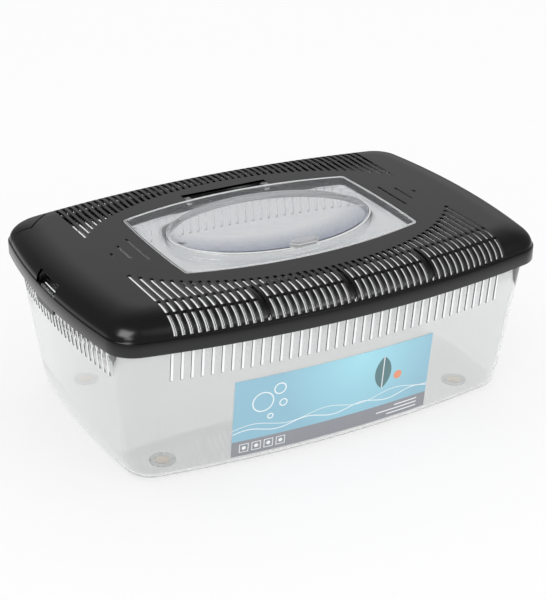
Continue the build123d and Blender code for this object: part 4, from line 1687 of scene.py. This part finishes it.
def shade(thing: bpy.types.Object, sharp: float) -> None:
    """Shade an object smooth with sharp edges above an angle in degrees."""
    thing.data.shade_smooth()
    thing.data.set_sharp_from_angle(angle=math.radians(sharp))


# --------------------------------------------------------------------------------------
# Studio
# --------------------------------------------------------------------------------------
@dataclass(frozen=True)
class Studio:
    """Camera, lights and backdrop of a plain product photograph."""

    azimuth: float = -28.656
    elevation: float = 25.550
    distance: float = 1.6446
    lens: float = 95.3
    target: tuple[float, float, float] = (0.04571, 0.07727, 0.04643)
    floor_glow: float = 0.72
    room_light: float = 0.9
    gloss_dark: float = 0.16
    gloss_back: float = 0.36
    gloss_key: float = 5.5
    gloss_fill: float = 0.9
    table_reach: float = 0.9

    def camera(self) -> bpy.types.Object:
        """Place the camera where the photograph was taken from."""
        data = bpy.data.cameras.new("camera")
        data.lens = self.lens
        data.sensor_width = 36.0
        data.clip_end = 20.0
        camera = bpy.data.objects.new("camera", data)
        bpy.context.scene.collection.objects.link(camera)
        turn, lift = math.radians(self.azimuth), math.radians(self.elevation)
        back = Vector((
            math.sin(turn) * math.cos(lift), -math.cos(turn) * math.cos(lift), math.sin(lift)
        ))
        camera.location = Vector(self.target) + back * self.distance
        camera.rotation_euler = back.to_track_quat("Z", "Y").to_euler()
        bpy.context.scene.camera = camera
        return camera

    def panel(self, name: str, place: Sequence[float], size: Sequence[float], power: float
              ) -> bpy.types.Object:
        """Add a soft box that looks at the object.

        Args:
            name: Object name.
            place: Where it stands.
            size: Its width and height.
            power: Its power in watts.

        Returns:
            The light.
        """
        data = bpy.data.lights.new(name, "AREA")
        data.shape = "RECTANGLE"
        data.size, data.size_y = size
        data.energy = power
        light = bpy.data.objects.new(name, data)
        bpy.context.scene.collection.objects.link(light)
        light.location = place
        toward = Vector((0.0, 0.0, 0.12)) - Vector(place)
        light.rotation_euler = toward.to_track_quat("-Z", "Y").to_euler()
        return light

    def seen(self, tree: bpy.types.NodeTree) -> tuple[bpy.types.NodeSocket, bpy.types.NodeSocket]:
        """Two masks: rays from the camera or through glass, and rays off gloss only."""
        path = tree.nodes.new("ShaderNodeLightPath")
        graph = Graph(tree)
        shown = graph.math("MAXIMUM", path.outputs["Is Camera Ray"],
                           path.outputs["Is Transmission Ray"])
        gloss = graph.both(path.outputs["Is Glossy Ray"], graph.math("SUBTRACT", 1.0, shown))
        return shown, gloss

    def floor(self) -> bpy.types.Object:
        """Add the white floor, lit from below like a shooting table, with a light shadow."""
        shape = bmesh.new()
        bmesh.ops.create_grid(shape, x_segments=1, y_segments=1, size=8.0)
        mesh = bpy.data.meshes.new("floor")
        shape.to_mesh(mesh)
        shape.free()
        floor = bpy.data.objects.new("floor", mesh)
        bpy.context.scene.collection.objects.link(floor)
        floor.location.z = -0.0005
        material = bpy.data.materials.new("floor_paper")
        material.use_nodes = True
        tree = material.node_tree
        paper = tree.nodes["Principled BSDF"]
        paper.inputs["Base Color"].default_value = linear("FFFFFF")
        paper.inputs["Roughness"].default_value = 1.0
        paper.inputs["Specular IOR Level"].default_value = 0.0
        glow = tree.nodes.new("ShaderNodeEmission")
        mix = tree.nodes.new("ShaderNodeMixShader")
        graph = Graph(tree)
        shown, gloss = self.seen(tree)
        share = graph.math("MAXIMUM", graph.math("MULTIPLY", shown, self.floor_glow), gloss)
        tree.links.new(share, mix.inputs[0])
        # Gloss sees the lit table end a little way off, as it does in the photograph.
        place = tree.nodes.new("ShaderNodeTexCoord")
        length = tree.nodes.new("ShaderNodeVectorMath")
        length.operation = "LENGTH"
        tree.links.new(place.outputs["Object"], length.inputs[0])
        near = graph.below(length.outputs["Value"], self.table_reach, 0.9)
        lit = graph.math("ADD", graph.math("MULTIPLY", near, 1.0 - self.gloss_dark),
                         self.gloss_dark)
        tree.links.new(graph.math("MAXIMUM", lit, shown), glow.inputs["Strength"])
        tree.links.new(paper.outputs[0], mix.inputs[1])
        tree.links.new(glow.outputs[0], mix.inputs[2])
        tree.links.new(mix.outputs[0], tree.nodes["Material Output"].inputs["Surface"])
        mesh.materials.append(material)
        return floor

    def world(self) -> None:
        """Light the room evenly; the camera sees it white, gloss sees a dimmer ceiling."""
        world = bpy.data.worlds.new("room")
        bpy.context.scene.world = world
        world.use_nodes = True
        tree = world.node_tree
        graph = Graph(tree)
        back = tree.nodes["Background"]
        back.inputs["Color"].default_value = (1.0, 1.0, 1.0, 1.0)
        shown, gloss = self.seen(tree)
        place = tree.nodes.new("ShaderNodeTexCoord")
        aim = place.outputs["Generated"]
        back_wall = self.patch(tree, aim, (0.43, 0.79, 0.43), 0.42, 0.5)
        key = self.patch(tree, aim, (-0.67, -0.30, 0.68), 0.30, 0.08)
        fill = self.patch(tree, aim, (0.38, -0.70, 0.58), 0.30, 0.30)
        light = graph.math("ADD", self.gloss_dark, graph.math("MULTIPLY", back_wall,
                                                              self.gloss_back))
        light = graph.math("ADD", light, graph.math("MULTIPLY", key, self.gloss_key))
        light = graph.math("ADD", light, graph.math("MULTIPLY", fill, self.gloss_fill))
        plain = graph.math("MULTIPLY", graph.math("SUBTRACT", 1.0, gloss), self.room_light)
        dim = graph.math("ADD", graph.both(gloss, light), plain)
        lift = graph.math("MULTIPLY", shown, graph.math("SUBTRACT", 1.0, dim))
        tree.links.new(graph.math("ADD", dim, lift), back.inputs["Strength"])

    def patch(self, tree: bpy.types.NodeTree, aim: bpy.types.NodeSocket,
              toward: Sequence[float], reach: float, soft: float) -> bpy.types.NodeSocket:
        """One inside a square patch of the room, zero outside.

        Args:
            tree: The world's node tree.
            aim: Direction looked at.
            toward: Direction of the patch's middle.
            reach: Half its width, as seen from one metre off.
            soft: Width of its soft border.

        Returns:
            The mask.
        """
        graph = Graph(tree)
        middle = Vector(toward).normalized()
        across = Vector((middle.y, -middle.x, 0.0)).normalized()
        masks = []
        for axis in (across, middle.cross(across), middle):
            dot = tree.nodes.new("ShaderNodeVectorMath")
            dot.operation = "DOT_PRODUCT"
            tree.links.new(aim, dot.inputs[0])
            dot.inputs[1].default_value = axis
            masks.append(dot.outputs["Value"])
        flat = [graph.below(graph.math("ABSOLUTE", mask), reach, soft) for mask in masks[:2]]
        ahead = graph.math("GREATER_THAN", masks[2], 0.0)
        return graph.both(graph.both(*flat), ahead)

    def build(self) -> None:
        """Set up everything around the object."""
        scene = bpy.context.scene
        scene.view_settings.view_transform = "Standard"
        self.world()
        self.floor()
        self.panel("key", (-1.7, -1.5, 0.75), (0.8, 0.7), 6.0)
        self.panel("front", (0.9, -1.9, 0.95), (1.1, 0.5), 6.0)
        self.camera()


def main() -> None:
    """Dress the object and set up the studio."""
    materials = {finish: plastic.build() for finish, plastic in PLASTICS.items()}
    LensPaintedShade().apply(materials[Finish.CLEAR_HATCH])
    tub = Tub(materials[Finish.CLEAR_TUB], materials[Finish.PAD], materials[Finish.PAINTED_HIGHLIGHT],
              materials[Finish.PAINTED_FLANK_SHADE])
    tub.build()
    Label(tub, LabelArt().build()).build()
    Hatch(materials[Finish.CLEAR_HATCH], materials[Finish.PAINTED_HIGHLIGHT], materials[Finish.PAINTED_SEAT_SHADE],
          materials[Finish.GRIP]).build()
    Lid(materials[Finish.BLACK_LID]).build()
    Studio().build()


if __name__ == "__main__":
    main()
